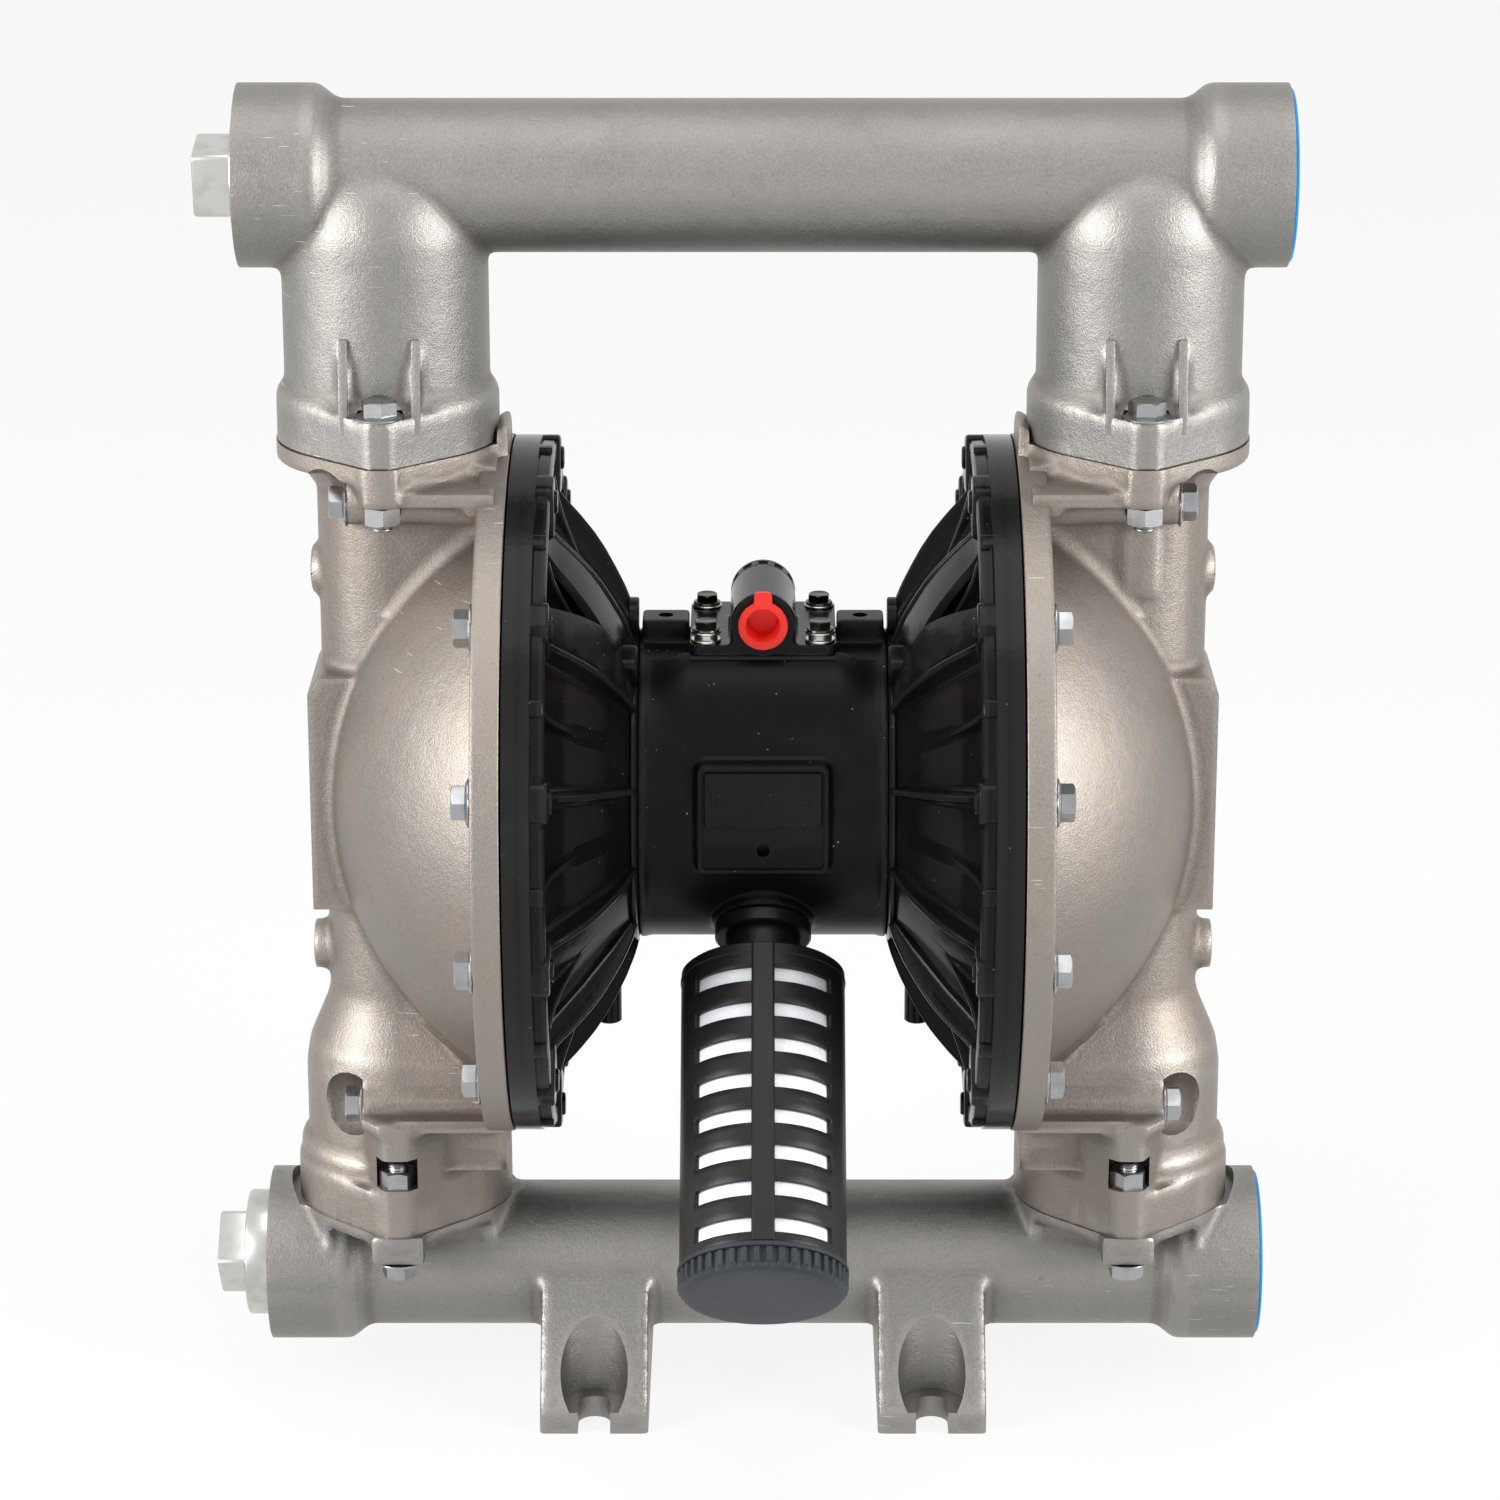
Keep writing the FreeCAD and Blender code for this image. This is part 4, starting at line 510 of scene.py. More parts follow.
def blasted_steel(name, tint, warm):
    """Blasted cast steel: fine grain, uneven tone, painted shade in hollows, painted highlights on edges,
    small scratches.
    """
    shader = PieceShader(name)
    tone = shader.noise(14, 3, 0.55).ramp(0.35, 0.68)
    fine = shader.noise(900, 2, 0.6)
    grain = shader.noise(1900, 1, 0.5)
    hollow = shader.attribute("hollow")
    hollow_shade = hollow.ramp(0.55, 0.85)
    edge_highlight = 1 - hollow.ramp(0.25, 0.44)
    base = shader.mix(tone, tint, warm)
    stain = shader.noise(38, 4, 0.65).ramp(0.55, 0.72) * 0.35
    base = shader.mix(stain, base, shade(warm, 0.72))
    # Painted shade: the hollows are darkened towards a deep brown
    base = shader.mix(hollow_shade * 0.35, base, (0.13, 0.116, 0.10))
    # Painted highlight: the convex edges are lightened
    base = shader.mix(edge_highlight * 0.12, base, (0.58, 0.55, 0.51))
    base = shader.mix(fine.ramp(0.42, 0.62) * 0.22, base, shade(tint, 1.5))
    base = shader.mix(grain.ramp(0.50, 0.68) * 0.22, base, shade(tint, 0.55))
    speck = shader.noise(420, 1, 0.5).ramp(0.72, 0.77) * 0.3
    base = shader.mix(speck, base, (0.12, 0.11, 0.10))
    scratch = shader.noise(70, 1, 0.4, shader.stretched(1.0, 0.5, 20.0)).ramp(0.75, 0.765)
    scratch = scratch * shader.noise(7, 1, 0.5).ramp(0.55, 0.62)
    base = shader.mix(scratch * 0.5, base, (0.8, 0.79, 0.77))
    roughness = 0.40 + fine * 0.14 + tone * 0.05 - edge_highlight * 0.03 + hollow_shade * 0.12
    cast_skin = shader.bump(shader.noise(55, 3, 0.55), 0.0011, 0.5)
    grain_bump = shader.bump(fine * 0.6 + grain * 0.4, 0.00034, 0.9, cast_skin)
    return shader.finished(Base_Color=base, Metallic=1.0, Roughness=roughness, Normal=grain_bump)


def bright_steel(name, tint):
    """Bright fastener steel of uneven roughness, with darker patches of film."""
    shader = PieceShader(name)
    marks = shader.noise(260, 3, 0.6)
    film = shader.noise(90, 2, 0.5).ramp(0.4, 0.7)
    base = shader.mix(film, tint, shade(tint, 0.82))
    roughness = 0.20 + marks * 0.12 + film * 0.06
    return shader.finished(Base_Color=base, Metallic=1.0, Roughness=roughness)


def black_coat(name, tint, roughness, orange_peel, dust, shine):
    """A black coat with orange peel, faint rubs, specks of pale dust and painted highlights on its edges."""
    shader = PieceShader(name)
    peel = shader.noise(orange_peel, 2, 0.5)
    rub = shader.noise(22, 3, 0.6).ramp(0.5, 0.75)
    specks = shader.cells(240)
    speck = (1 - specks.ramp(0.05, 0.13)) * shader.noise(75, 2, 0.6).ramp(0.56, 0.66) * dust
    base = shader.mix(rub * 0.5, tint, shade(tint, 2.3))
    base = shader.mix(speck, base, (0.30, 0.29, 0.28))
    edge_highlight = 1 - shader.attribute("hollow").ramp(0.20, 0.42)
    # Painted highlight: the convex edges are lightened a little
    base = shader.mix(edge_highlight * 0.05, base, (0.12, 0.12, 0.12))
    return shader.finished(Base_Color=base, Roughness=roughness + rub * 0.08 + speck * 0.3,
                           Specular_IOR_Level=shine, Normal=shader.bump(peel, 0.00015, 0.6))


def moulded(name, tint, roughness, texture=700.0, depth=0.00012):
    """Moulded plastic or rubber: a fine texture and a slightly uneven tone."""
    shader = PieceShader(name)
    tone = shader.noise(30, 3, 0.6).ramp(0.35, 0.7)
    base = shader.mix(tone, tint, shade(tint, 1.25))
    scuff = shader.noise(120, 4, 0.7).ramp(0.60, 0.75)
    base = shader.mix(scuff * 0.25, base, shade(tint, 1.9))
    return shader.finished(Base_Color=base, Roughness=roughness + scuff * 0.12, Specular_IOR_Level=0.25,
                           Normal=shader.bump(shader.noise(texture, 2, 0.6), depth, 0.8))


def felt_sleeve(name, tint):
    """A white porous sleeve."""
    shader = PieceShader(name)
    pores = shader.noise(1300, 2, 0.6)
    base = shader.mix(pores.ramp(0.3, 0.7), shade(tint, 0.90), tint)
    return shader.finished(Base_Color=base, Roughness=0.85, Normal=shader.bump(pores, 0.0002, 0.7))


class Finish:
    """The materials, each made once."""
    made = {}

    @classmethod
    def get(cls, key):
        if key in cls.made:
            return cls.made[key]
        colours = bpy.context.scene.pump_finishes
        makers = {
            "manifold": lambda: blasted_steel("manifold_steel", colours.manifold,
                                              shade(colours.manifold, 0.93)),
            "cover": lambda: blasted_steel("cover_steel", colours.cover, (0.265, 0.227, 0.197)),
            "bright": lambda: bright_steel("bright_steel", colours.bright),
            "turned": lambda: bright_steel("turned_steel", (0.56, 0.55, 0.53)),
            "gloss_black": lambda: black_coat("gloss_black_coat", colours.black, 0.17, 260.0, 0.35, 0.13),
            "body_black": lambda: black_coat("body_black_coat", colours.black, 0.33, 900.0, 1.0, 0.11),
            "cage": lambda: moulded("cage_plastic", colours.cage, 0.38),
            "cap": lambda: moulded("cap_plastic", colours.cap, 0.52, 900.0),
            "filter": lambda: felt_sleeve("filter_sleeve", colours.filter),
            "red": lambda: moulded("red_plastic", colours.red, 0.34, 300.0, 0.00006),
            "blue": lambda: moulded("blue_plastic", colours.blue, 0.40),
            "dark_screw": lambda: bright_steel("dark_screw_steel", (0.10, 0.095, 0.085)),
            "rubber": lambda: moulded("black_rubber", (0.02, 0.02, 0.02), 0.7),
            "ptfe": lambda: moulded("white_ptfe", (0.80, 0.80, 0.78), 0.45),
            "bronze": lambda: bright_steel("bronze", (0.62, 0.42, 0.20)),
            "anodised": lambda: bright_steel("anodised", (0.55, 0.55, 0.57)),
        }
        cls.made[key] = makers[key]()
        return cls.made[key]


# Castings
def flange_outline(sizes, wider=0.0, reach=None):
    """The eared outline with its ears cut flat in front and behind, and its far side cut at `reach`."""
    outline = eared_outline(sizes.collar_radius + wider, sizes.ear_radius + wider, sizes.ear_offset)
    front = EAR_FRONT + wider
    outline[:, 1] = np.clip(outline[:, 1], -front, front)
    if reach is not None:
        outline[:, 0] = np.minimum(outline[:, 0], reach)
    return outline


def on_column(outline, low, high):
    """A flat outline round the valve column, carried up from one height to another."""
    return shifted(extrude("Z", outline, low, high), COLUMN_X)


def manifold_tube(sizes, height, flare):
    """Half a manifold tube: over 12 mm from `flare`, radius = tube + (boss - tube) * (3 t^2 - 2 t^3)."""
    turn = np.linspace(0, 1, 9)
    radius = sizes.tube_radius + (sizes.boss_radius - sizes.tube_radius) * (3 * turn ** 2 - 2 * turn ** 3)
    end = FACE_X + 4
    boss_end = [(end, sizes.boss_radius), (end, 0)]
    profile = [(0, 0), (0, sizes.tube_radius), *zip(flare + 12 * turn, radius), *boss_end]
    return lathe("X", profile, (0, 0, height), 128)


def port_cut(sizes, height):
    """The port's bore, threaded wall, chamfer and faced end, as (x, radius) from the inside out."""
    bore, thread, face = sizes.tube_bore, sizes.thread_radius, 80
    profile = [(FACE_X - 120, 0), (FACE_X - 120, bore), (FACE_X - 28, bore), (FACE_X - 28, thread),
               (FACE_X - 4, thread), (FACE_X, thread + 4), (FACE_X, face), (FACE_X + 12, face),
               (FACE_X + 12, 0)]
    return [lathe("X", profile, (0, 0, height), 128)]


def ear_ribs(half_width, inset, edge):
    """Two ribs on each ear, front and back: a plate along X whose edges are bevelled by `edge`."""
    outline = [(36, 14), (55, 14), (54, 25), (51, 40), (46.5, 56), (36, 57)]
    forms = []
    for side in SIGNS:
        face = [(side * (out - inset), up) for out, up in outline]
        for lean in (-16.5, 16.5):
            near, far = lean - half_width, lean + half_width
            levels = [(near, edge), (near + edge, 0), (far - edge, 0), (far, edge)]
            forms.append(shifted(layered("X", face, levels), COLUMN_X, 0, OUTLET_JOINT))
    return forms


def outlet_forms(sizes):
    """Half the outlet manifold: tube, flange, riser with a stepped foot, round elbow top and ear ribs."""
    low, high, cap = OUTLET_JOINT - 5, OUTLET_HEAD_SEAT, OUTLET_JOINT + 96.2
    collar, elbow = sizes.collar_radius, sizes.elbow_radius
    riser = lathe("Z", [(low, 0), (low, collar), (high, collar), (high + 3, collar - 1.5), (high + 6, elbow),
                        (cap, elbow), (cap, 0)], (COLUMN_X, 0, 0), 128)
    return [manifold_tube(sizes, OUTLET_AXIS, 192), on_column(flange_outline(sizes), low, high), riser,
            sphere(elbow, (COLUMN_X, 0, cap)), *ear_ribs(1.9, 3.0, 0.1)]


def spot_faces(sizes):
    """Room for each bolt's washer face and, above it, for its hexagon."""
    low, step, high = OUTLET_HEAD_SEAT, OUTLET_HEAD_SEAT + 2.4, OUTLET_HEAD_SEAT + 9
    profile = [(low, 0), (low, 11.5), (step, 11.5), (step, 9), (high, 9), (high, 0)]
    return [lathe("Z", profile, (COLUMN_X, side * sizes.ear_offset, 0), 48) for side in SIGNS]


def top_manifold(sizes):
    """The outlet casting, faced at its joints, with thin feet and crisp ribs added."""
    port = port_cut(sizes, OUTLET_AXIS)
    below = box((COLUMN_X - 90, COLUMN_X + 60), (-90, 90), (OUTLET_JOINT - 30, OUTLET_JOINT + 0.9))
    cuts = [port, mirror_all(port), both_sides([below]), both_sides(spot_faces(sizes))]
    piece = cast("outlet_manifold_casting", both_sides(outlet_forms(sizes)), cuts, sizes.voxel, 3, 0.8)
    foot = on_column(flange_outline(sizes, -1.8), OUTLET_JOINT, OUTLET_JOINT + 3)
    combine(piece, "UNION", [both_sides([foot]), both_sides(ear_ribs(2.0, 0, 0.7))])
    # The added foot and ribs have no hollow marks, so the steel paints its edge highlight all over them
    smooth_shading(piece)
    return piece


def foot_form():
    """A foot: its side view (y, z), a base that rises to the tube, carried 26 mm to each side."""
    profile = [(-75, -4), (75, -4), (75, 10.7), (36, 64), (30, 68), (-30, 68), (-36, 64), (-75, 10.7)]
    return shifted(extrude("X", profile, -26, 26), FOOT_X)


def inlet_forms(sizes):
    """Half the inlet manifold: tube, flange, the saddle and wings under it, the bolts' ears and a foot."""
    joint, under = INLET_JOINT, INLET_JOINT - 3
    plate = flange_outline(sizes, 1.0)
    saddle = shifted(box((-42, 42), (-29.5, 29.5), (INLET_AXIS, under)), COLUMN_X)
    outer, inner = plate[plate[:, 0] > 31], plate[plate[:, 0] < -39.5]
    outer, inner = outer[np.argsort(outer[:, 1])], inner[np.argsort(-inner[:, 1])]
    wings = [on_column(wing, INLET_AXIS, under) for wing in (outer, inner)]
    ears = [shifted(box((-12.5, 12.5), off_middle(side, 20, 65), (INLET_HEAD_SEAT, joint)), COLUMN_X)
            for side in SIGNS]
    return [manifold_tube(sizes, INLET_AXIS, 190), on_column(plate, joint - 6.5, joint + 5), saddle, *wings,
            *ears, foot_form()]


def foot_cuts():
    """The feet's round pockets, the round and open parts of their slots, and the plane that they stand on."""
    half = 7.75
    pockets, holes, slots = [], [], []
    for side in SIGNS:
        place = (FOOT_X, side * FOOT_SLOT_Y, 0)
        pockets.append(rod("Z", 16.2, 10.7, 60, place))
        holes.append(rod("Z", half, -10, 20, place))
        slots.append(shifted(box((-half, half), off_middle(side, FOOT_SLOT_Y, 90), (-10, 20)), FOOT_X))
    ground = box((-130, 130), (-90, 90), (-20, 0))
    return [both_sides(pockets), both_sides(holes), both_sides(slots), [ground]]


def bottom_manifold(sizes):
    """The inlet casting, faced above its joints, with its ports and feet machined."""
    port = port_cut(sizes, INLET_AXIS)
    room = (INLET_JOINT, INLET_JOINT + 40)
    above = rod("Z", sizes.collar_radius + 4, *room, (COLUMN_X, 0, 0), 128)
    above_ears = box((COLUMN_X - 40, COLUMN_X + 40), (-80, 80), room)
    cuts = [port, mirror_all(port), both_sides([above]), both_sides([above_ears]), *foot_cuts()]
    return cast("inlet_manifold_casting", both_sides(inlet_forms(sizes)), cuts, sizes.voxel, 3, 0.75)


def column_profile(sizes):
    """Half-widths of the valve column up its height: skirt, ball chamber, shoulder and column."""
    joint, bulb, column = INLET_JOINT, sizes.bulb_radius, sizes.column_radius
    return [(joint + 29, sizes.collar_radius - 1.4), (joint + 34, bulb), (joint + 68, bulb),
            (joint + 80, 44.5), (joint + 92, 39.5), (joint + 101, 35.6), (joint + 108, column),
            (OUTLET_JOINT - 5, column)]


def bead(points, radius):
    """A raised bead: rings of `radius` round a line of points, each square to the line's direction."""
    along = np.gradient(points, axis=0)
    along /= np.linalg.norm(along, axis=1, keepdims=True)
    first = np.cross(along, [0.0, 1.0, 0.0])
    first /= np.linalg.norm(first, axis=1, keepdims=True)
    second = np.cross(along, first)
    angle = whole_turn(12)[None, :, None]
    spokes = np.cos(angle) * first[:, None] + np.sin(angle) * second[:, None]
    return closed_form(points[:, None] + radius * spokes)


def dome_seam(sizes, side, out, end, sign):
    """Where the flat web at `out` meets the dome: (x - centre)^2 + (z - shaft)^2 = dome^2 - out^2."""
    x = np.linspace(127, end, 24)
    rise = np.sqrt(sizes.dome_radius ** 2 - out ** 2 - (x - DOME_CENTRE) ** 2)
    return np.column_stack([x, np.full(24, side * (out - 0.6)), SHAFT_HEIGHT + sign * rise])


def cover_shell(sizes):
    """A fluid cover's dome, valve column with the web behind it, flanges, walls, face and crown."""
    joint, collar, dome_radius = INLET_JOINT, sizes.collar_radius, sizes.dome_radius
    root = math.acos((126 - DOME_CENTRE) / dome_radius)
    turn = root * (1 - np.linspace(0, 1, 40))
    arc = zip(DOME_CENTRE + dome_radius * np.cos(turn), dome_radius * np.sin(turn))
    dome = lathe("X", [(120, 0), *arc], (0, 0, SHAFT_HEIGHT), 192)
    profile = column_profile(sizes)
    column = lathe("Z", [(profile[0][0], 0), *profile, (profile[-1][0], 0)], (COLUMN_X, 0, 0), 128)
    right = [(width, level) for level, width in profile]
    left = [(-width, level) for width, level in right[::-1]]
    web = extrude("X", right + left, 122, COLUMN_X)
    skirt = lathe("Z", [(joint - 5, 0), (joint - 5, collar), (joint + 20, collar), (joint + 22, collar - 1.4),
                        (joint + 30, collar - 1.4), (joint + 30, 0)], (COLUMN_X, 0, 0), 128)
    low_wall = on_column(flange_outline(sizes), joint - 5, joint + 21)
    tall_wall = on_column(flange_outline(sizes, reach=19), joint - 5, joint + 55)
    face = extrude("Y", [(150, 252), (212, 252), (212, 358), (207, 367), (150, 367)], -34, 34)
    flange = on_column(flange_outline(sizes, 0.6), OUTLET_JOINT - 9, OUTLET_JOINT + 5)
    ear = on_column(flange_outline(sizes, reach=19), OUTLET_JOINT - 13, OUTLET_JOINT)
    funnel = lathe("Z", [(OUTLET_JOINT - 22, 0), (OUTLET_JOINT - 22, 34), (OUTLET_JOINT - 9, 43),
                         (OUTLET_JOINT - 9, 0)], (COLUMN_X, 0, 0))
    crown = extrude("X", [(-17, 440), (17, 440), (17, 476), (14, 482), (-14, 482), (-17, 476)],
                    COVER_BACK, 121.4)
    return [dome, column, web, skirt, low_wall, tall_wall, face, flange, ear, funnel, crown]


def cover_blocks(sizes, side):
    """The blocks on one side of a fluid cover: outlet ear, shelves at both joints and beads on the seams."""
    shelf = INLET_JOINT + 51.5
    ear_heights = (OUTLET_NUT_SEAT, OUTLET_JOINT)
    ear = rod("Z", sizes.ear_radius, *ear_heights, (COLUMN_X, side * sizes.ear_offset, 0))
    ear_block = box((COLUMN_X - 8, COLUMN_X + 8), off_middle(side, sizes.ear_offset, EAR_FRONT), ear_heights)
    shelves = [box((122, COLUMN_X), off_middle(side, 20, 62), heights)
               for heights in ((OUTLET_NUT_SEAT, OUTLET_JOINT - 11.5), (shelf, shelf + 7.5))]
    shelf_end = [(x, side * y) for x, y in ((0, 30), (18.5, 40), (18.5, 54), (8, EAR_FRONT), (0, EAR_FRONT))]
    return [ear, ear_block, *shelves, on_column(shelf_end, shelf, shelf + 7),
            box((122, 135), off_middle(side, 45, 61.5), (450.5, 462.5)),
            bead(dome_seam(sizes, side, sizes.column_radius, 173, 1), 3.0),
            bead(dome_seam(sizes, side, sizes.bulb_radius, 160, -1), 3.6)]


def cover_forms(sizes):
    """The forms that are fused into a right fluid cover."""
    forms = cover_shell(sizes)
    for side in SIGNS:
        forms += cover_blocks(sizes, side)
    for angle in LONG_BOLT_ANGLES:
        forms.append(rod("X", 10.5, 124, 192, cover_point(angle, 0)))
    for radius, end, height in ((11.8, 214.5, 223), (11.3, 211, 410)):
        forms.append(rod("X", radius, COLUMN_X, end, (0, 0, height)))
    return forms


def cover_cuts(sizes):
    """What is machined out of a right fluid cover, in groups of forms that stand apart."""
    joint, shaft = INLET_JOINT, (0, 0, SHAFT_HEIGHT)
    back = lathe("X", [(60, 0), (60, 200), (COVER_BACK, 200), (COVER_BACK, 0)], shaft, 192)
    arc = [(DOME_CENTRE + CHAMBER_RADIUS * math.cos(turn), CHAMBER_RADIUS * math.sin(turn))
           for turn in np.linspace(math.radians(64.4), 0, 24)]
    chamber = lathe("X", [(100, 0), (100, arc[0][1]), *arc], shaft, 96)
    below = box((100, 240), (-90, 90), (joint - 40, joint))
    above = box((122.5, 240), (-90, 90), (OUTLET_JOINT, OUTLET_JOINT + 40))
    window_sides, window_heights = (COLUMN_X - 9.8, COLUMN_X + 9.8), (INLET_NUT_SEAT, joint + 39.4)
    windows = [box(window_sides, off_middle(side, 44.5, 80), window_heights) for side in SIGNS]
    bowl = [(0, 0), (0, 13.7), (3, 15.6), (7, 16.8), (11, 17), (15, 16.3), (19, 14.5), (23, 10.9), (26, 5.7),
            (27, 0)]
    seats = [lathe("X", bowl, (LONG_BOLT_SEAT, y * 1.14, z), 64)
             for _, y, z in (cover_point(angle, 0) for angle in LONG_BOLT_ANGLES)]
    nuts = [rod("Z", 9.9, OUTLET_NUT_SEAT - 13, OUTLET_NUT_SEAT, (COLUMN_X, side * sizes.ear_offset, 0))
            for side in SIGNS]
    split = [box((210, 214), (-14, 14), (409.3, 410.5))]
    return [[back], [chamber], [below], [above], windows, seats, nuts, split]


def fluid_cover(sizes, sign, name):
    """A fluid cover: its fused forms, the crisp ring flange added to them, then the cuts."""
    forms, cuts = cover_forms(sizes), cover_cuts(sizes)
    rim = [(x, 165) for x in (117.4, 119, 122, 125, 127.8, 128.8)]
    front = [(COVER_FACE, radius) for radius in (163.8, 161, 155, 147, 138)]
    profile = [(COVER_BACK, 0), (COVER_BACK, 164.6), *rim, (129.6, 164.7), *front, (127, 120), (127, 0)]
    rings = [lathe("X", profile, (0, 0, SHAFT_HEIGHT), 240)]
    # The pad in front of the column is on the right cover alone
    if sign > 0:
        plain_pad = box((165.5, 181.5), (-35.2, -20), (407, 439))
        forms.append(plain_pad)
    else:
        forms, rings = mirror_all(forms), mirror_all(rings)
        cuts = [mirror_all(group) for group in cuts]
    piece = cast(f"{name}_fluid_casting", forms, [], sizes.voxel, 3, 0.62)
    combine(piece, "UNION", [rings])
    combine(piece, "DIFFERENCE", cuts)
    smooth_shading(piece)
    mark_hollows(piece)
    return piece


# Air section, whose curves are points (x, radius)
DISC = [(62, 73), (72, 89), (86, 109), (101, 128), (104, 134), (104, 150)]
LONG_FIN = [(58.3, 73.5), (60.0, 80), (61.4, 84), (65, 93), (69.6, 102), (74.6, 111), (80, 119), (87, 127.5),
            (94, 135), (98, 141), (99, 150)]
SHORT_FIN = [(83.2, 104.5), (85.4, 111), (88.4, 119), (91.6, 128), (94.6, 138), (96.6, 150)]


def fin(curve, top, foot):
    """A fin along a curve (x, r): its half-width grows from `top` at its edge to `foot` at the disc.

    Each section stands at one radius r; its depth runs from the curve's x to the disc's x at that radius.
    """
    edge_x, edge_radius = np.asarray(curve, float).T
    disc_x, disc_radius = np.asarray(DISC, float).T
    radius = np.linspace(edge_radius[0], edge_radius[-1], 30)
    edge = np.interp(radius, edge_radius, edge_x)
    surface = np.interp(radius, disc_radius, disc_x)
    height = np.maximum(surface - edge, 1.0)
    share = np.array([0.0, 0.02, 0.06, 0.12, 0.4, 0.7, 0.85, 0.95, 1.0])
    width = [top * part for part in (0.35, 0.7, 0.93, 1, 1.15, 1.4, 1.9)] + [foot * 0.75, foot, foot]
    depth = edge[:, None] + height[:, None] * share
    depth = np.concatenate([depth, surface[:, None] + 3.0], axis=1)
    half = np.broadcast_to(width, depth.shape)
    along = np.concatenate([depth, depth[:, ::-1]], axis=1)
    across = np.concatenate([half, -half[:, ::-1]], axis=1)
    return closed_form(on_axis("X", along, across, radius[:, None]))


def web_plate(first, last):
    """Half of the plate between two fins, from one fin's angle to a line that opens towards the lugs."""
    notch, thickness = 0.62, 5.0
    edge_x, edge_radius = np.asarray(LONG_FIN, float).T
    part = np.linspace(0, 1, 24)
    radius = np.interp(part, [0, 1], edge_radius[[0, -1]])
    edge = np.interp(radius, edge_radius, edge_x) + 1.2
    border = last + (first - last) * notch * np.clip((part - 0.42) / 0.58, 0, 1)
    radius, edge, border = radius[:, None], edge[:, None], border[:, None]
    rings = []
    for offset, order in ((0.0, 1), (thickness, -1)):
        angle = np.radians(first + (border - first) * np.linspace(0, 1, 8)[::order])
        rings.append(on_axis("X", edge + offset, radius * np.cos(angle), radius * np.sin(angle)))
    return closed_form(np.concatenate(rings, axis=1))


def disc_form():
    """The turned disc: seat on the body, dished back, groove, rim and the inside."""
    rim = [(x, 164.5) for x in (103.6, 105.5, 109, 112.5, 116)]
    profile = [(66, 30), (58, 30), (58, 72.4), (58.4, 74), (59.2, 75), (60.6, 75), (61.6, 74), (72, 89),
               (86, 109), (99, 125.6), (102.6, 130.6), (104, 136), (104, 152), (97.6, 153.5), (97, 154.6),
               (97, 160.6), (98, 162.0), (102.8, 162.2), *rim, (116, 140), (110, 130), (92, 104), (78, 84),
               (68, 67), (66, 30)]
    return lathe("X", profile, steps=240)


def air_cover(sign, name):
    """A black cover: a disc with twelve fins, lugs and nubs, twelve short fins and stops, and two plates."""
    lug = layered("X", rounded_plate(9.6, 137, 164.4, 6.5, 8),
                  [(106, 0), (96.9, 0), (95.8, 0.5), (95.4, 1.6)])
    stop = layered("X", rounded_plate(4.2, 148, 164.3, 2.2, 5), [(106, 0), (98.4, 0), (97.6, 0.5)])
    nub = lathe("X", [(100, 0), (100, 5.6), (94.5, 5.4), (93.9, 4.8), (93.9, 3.4), (95.0, 3.1), (95.0, 0)],
                (0, 0, COVER_CIRCLE), 32)
    at_lugs, between = (fin(LONG_FIN, 1.5, 4.6), lug, nub), (fin(SHORT_FIN, 1.3, 3.4), stop)
    groups = [[turned_about_shaft(form, angle - 90) for angle in COVER_ANGLES] for form in at_lugs]
    groups += [[turned_about_shaft(form, angle - 75) for angle in COVER_ANGLES] for form in between]
    groups += [[turned_about_shaft(web_plate(*angles), 180)] for angles in ((-45, -60.3), (-75, -59.7))]
    block = layered("X", rounded_plate(7, 62, 89, 3, 5), [(75, 1), (74, 0), (59, 0), (58, 1)])
    ear = lathe("X", [(58, 0), (58, 8.4), (58.6, 9), (62.4, 9), (63, 8.4), (63, 0)], (0, 0, 82), 48)
    drop = lathe("Z", [(-121, 0), (-121, 5.4), (-120.4, 6), (-93, 6), (-93, 0)], (74, 0, 0), 48)
    groups += [[turned_about_shaft(block, 30)], [ear], [drop]]
    place = Matrix.Translation((0, 0, SHAFT_HEIGHT)) @ Matrix.Diagonal((sign, 1, 1, 1))
    piece = new_object(f"{name}_air_casting", [moved(disc_form(), place)])
    combine(piece, "UNION", [[moved(form, place) for form in group] for group in groups])
    smooth_shading(piece, 40)
    mark_hollows(piece, 1)
    return piece


def eased(part):
    """3 t^2 - 2 t^3 with t held between 0 and 1."""
    part = np.clip(part, 0, 1)
    return part * part * (3 - 2 * part)


def swelling():
    """The body's smooth rise in front of the valve: radius 72.4 + 7.4 * s * f.

    s eases from the barrel to the valve's front edge, and f eases out towards both ends.
    """
    angle = np.linspace(math.radians(112), math.radians(150), 26)
    rise = eased((math.radians(147) - angle) / math.radians(31))
    along = np.linspace(-57, 57, 58)[:, None]
    fade = eased((57 - np.abs(along)) / 24)
    radius = 72.4 + 7.4 * fade * rise
    outer = on_axis("X", along, radius * np.cos(angle), radius * np.sin(angle))
    core = 50.0 + np.zeros(outer.shape[:2])
    back = angle[::-1]
    core = on_axis("X", along, core * np.cos(back), core * np.sin(back))
    return shifted(closed_form(np.concatenate([outer, core], axis=1)), 0, 0, SHAFT_HEIGHT)


def centre_forms():
    """The centre body: barrel with end collars, deck, lugs, panel frame, swelling and muffler boss."""
    barrel = lathe("X", [(-58, 0), (-58, 73.3), (-55, 73.3), (-54.2, 72.5), (54.2, 72.5), (55, 73.3),
                         (58, 73.3), (58, 0)], (0, 0, SHAFT_HEIGHT), 192)
    deck = box((-34, 34), (-36, 36), (SHAFT_HEIGHT, 376))
    lugs = [box((side * LUG_X - 11, side * LUG_X + 11), (-10, 10), (SHAFT_HEIGHT, 387)) for side in SIGNS]
    panel_frame = extrude("Y", rounded_plate(30.5, 284, 336.5, 4), -74.5, -40)
    boss = moved(rod("Z", 23.5, 0, 74.8), muffler_matrix())
    return [barrel, deck, *lugs, panel_frame, swelling(), boss]


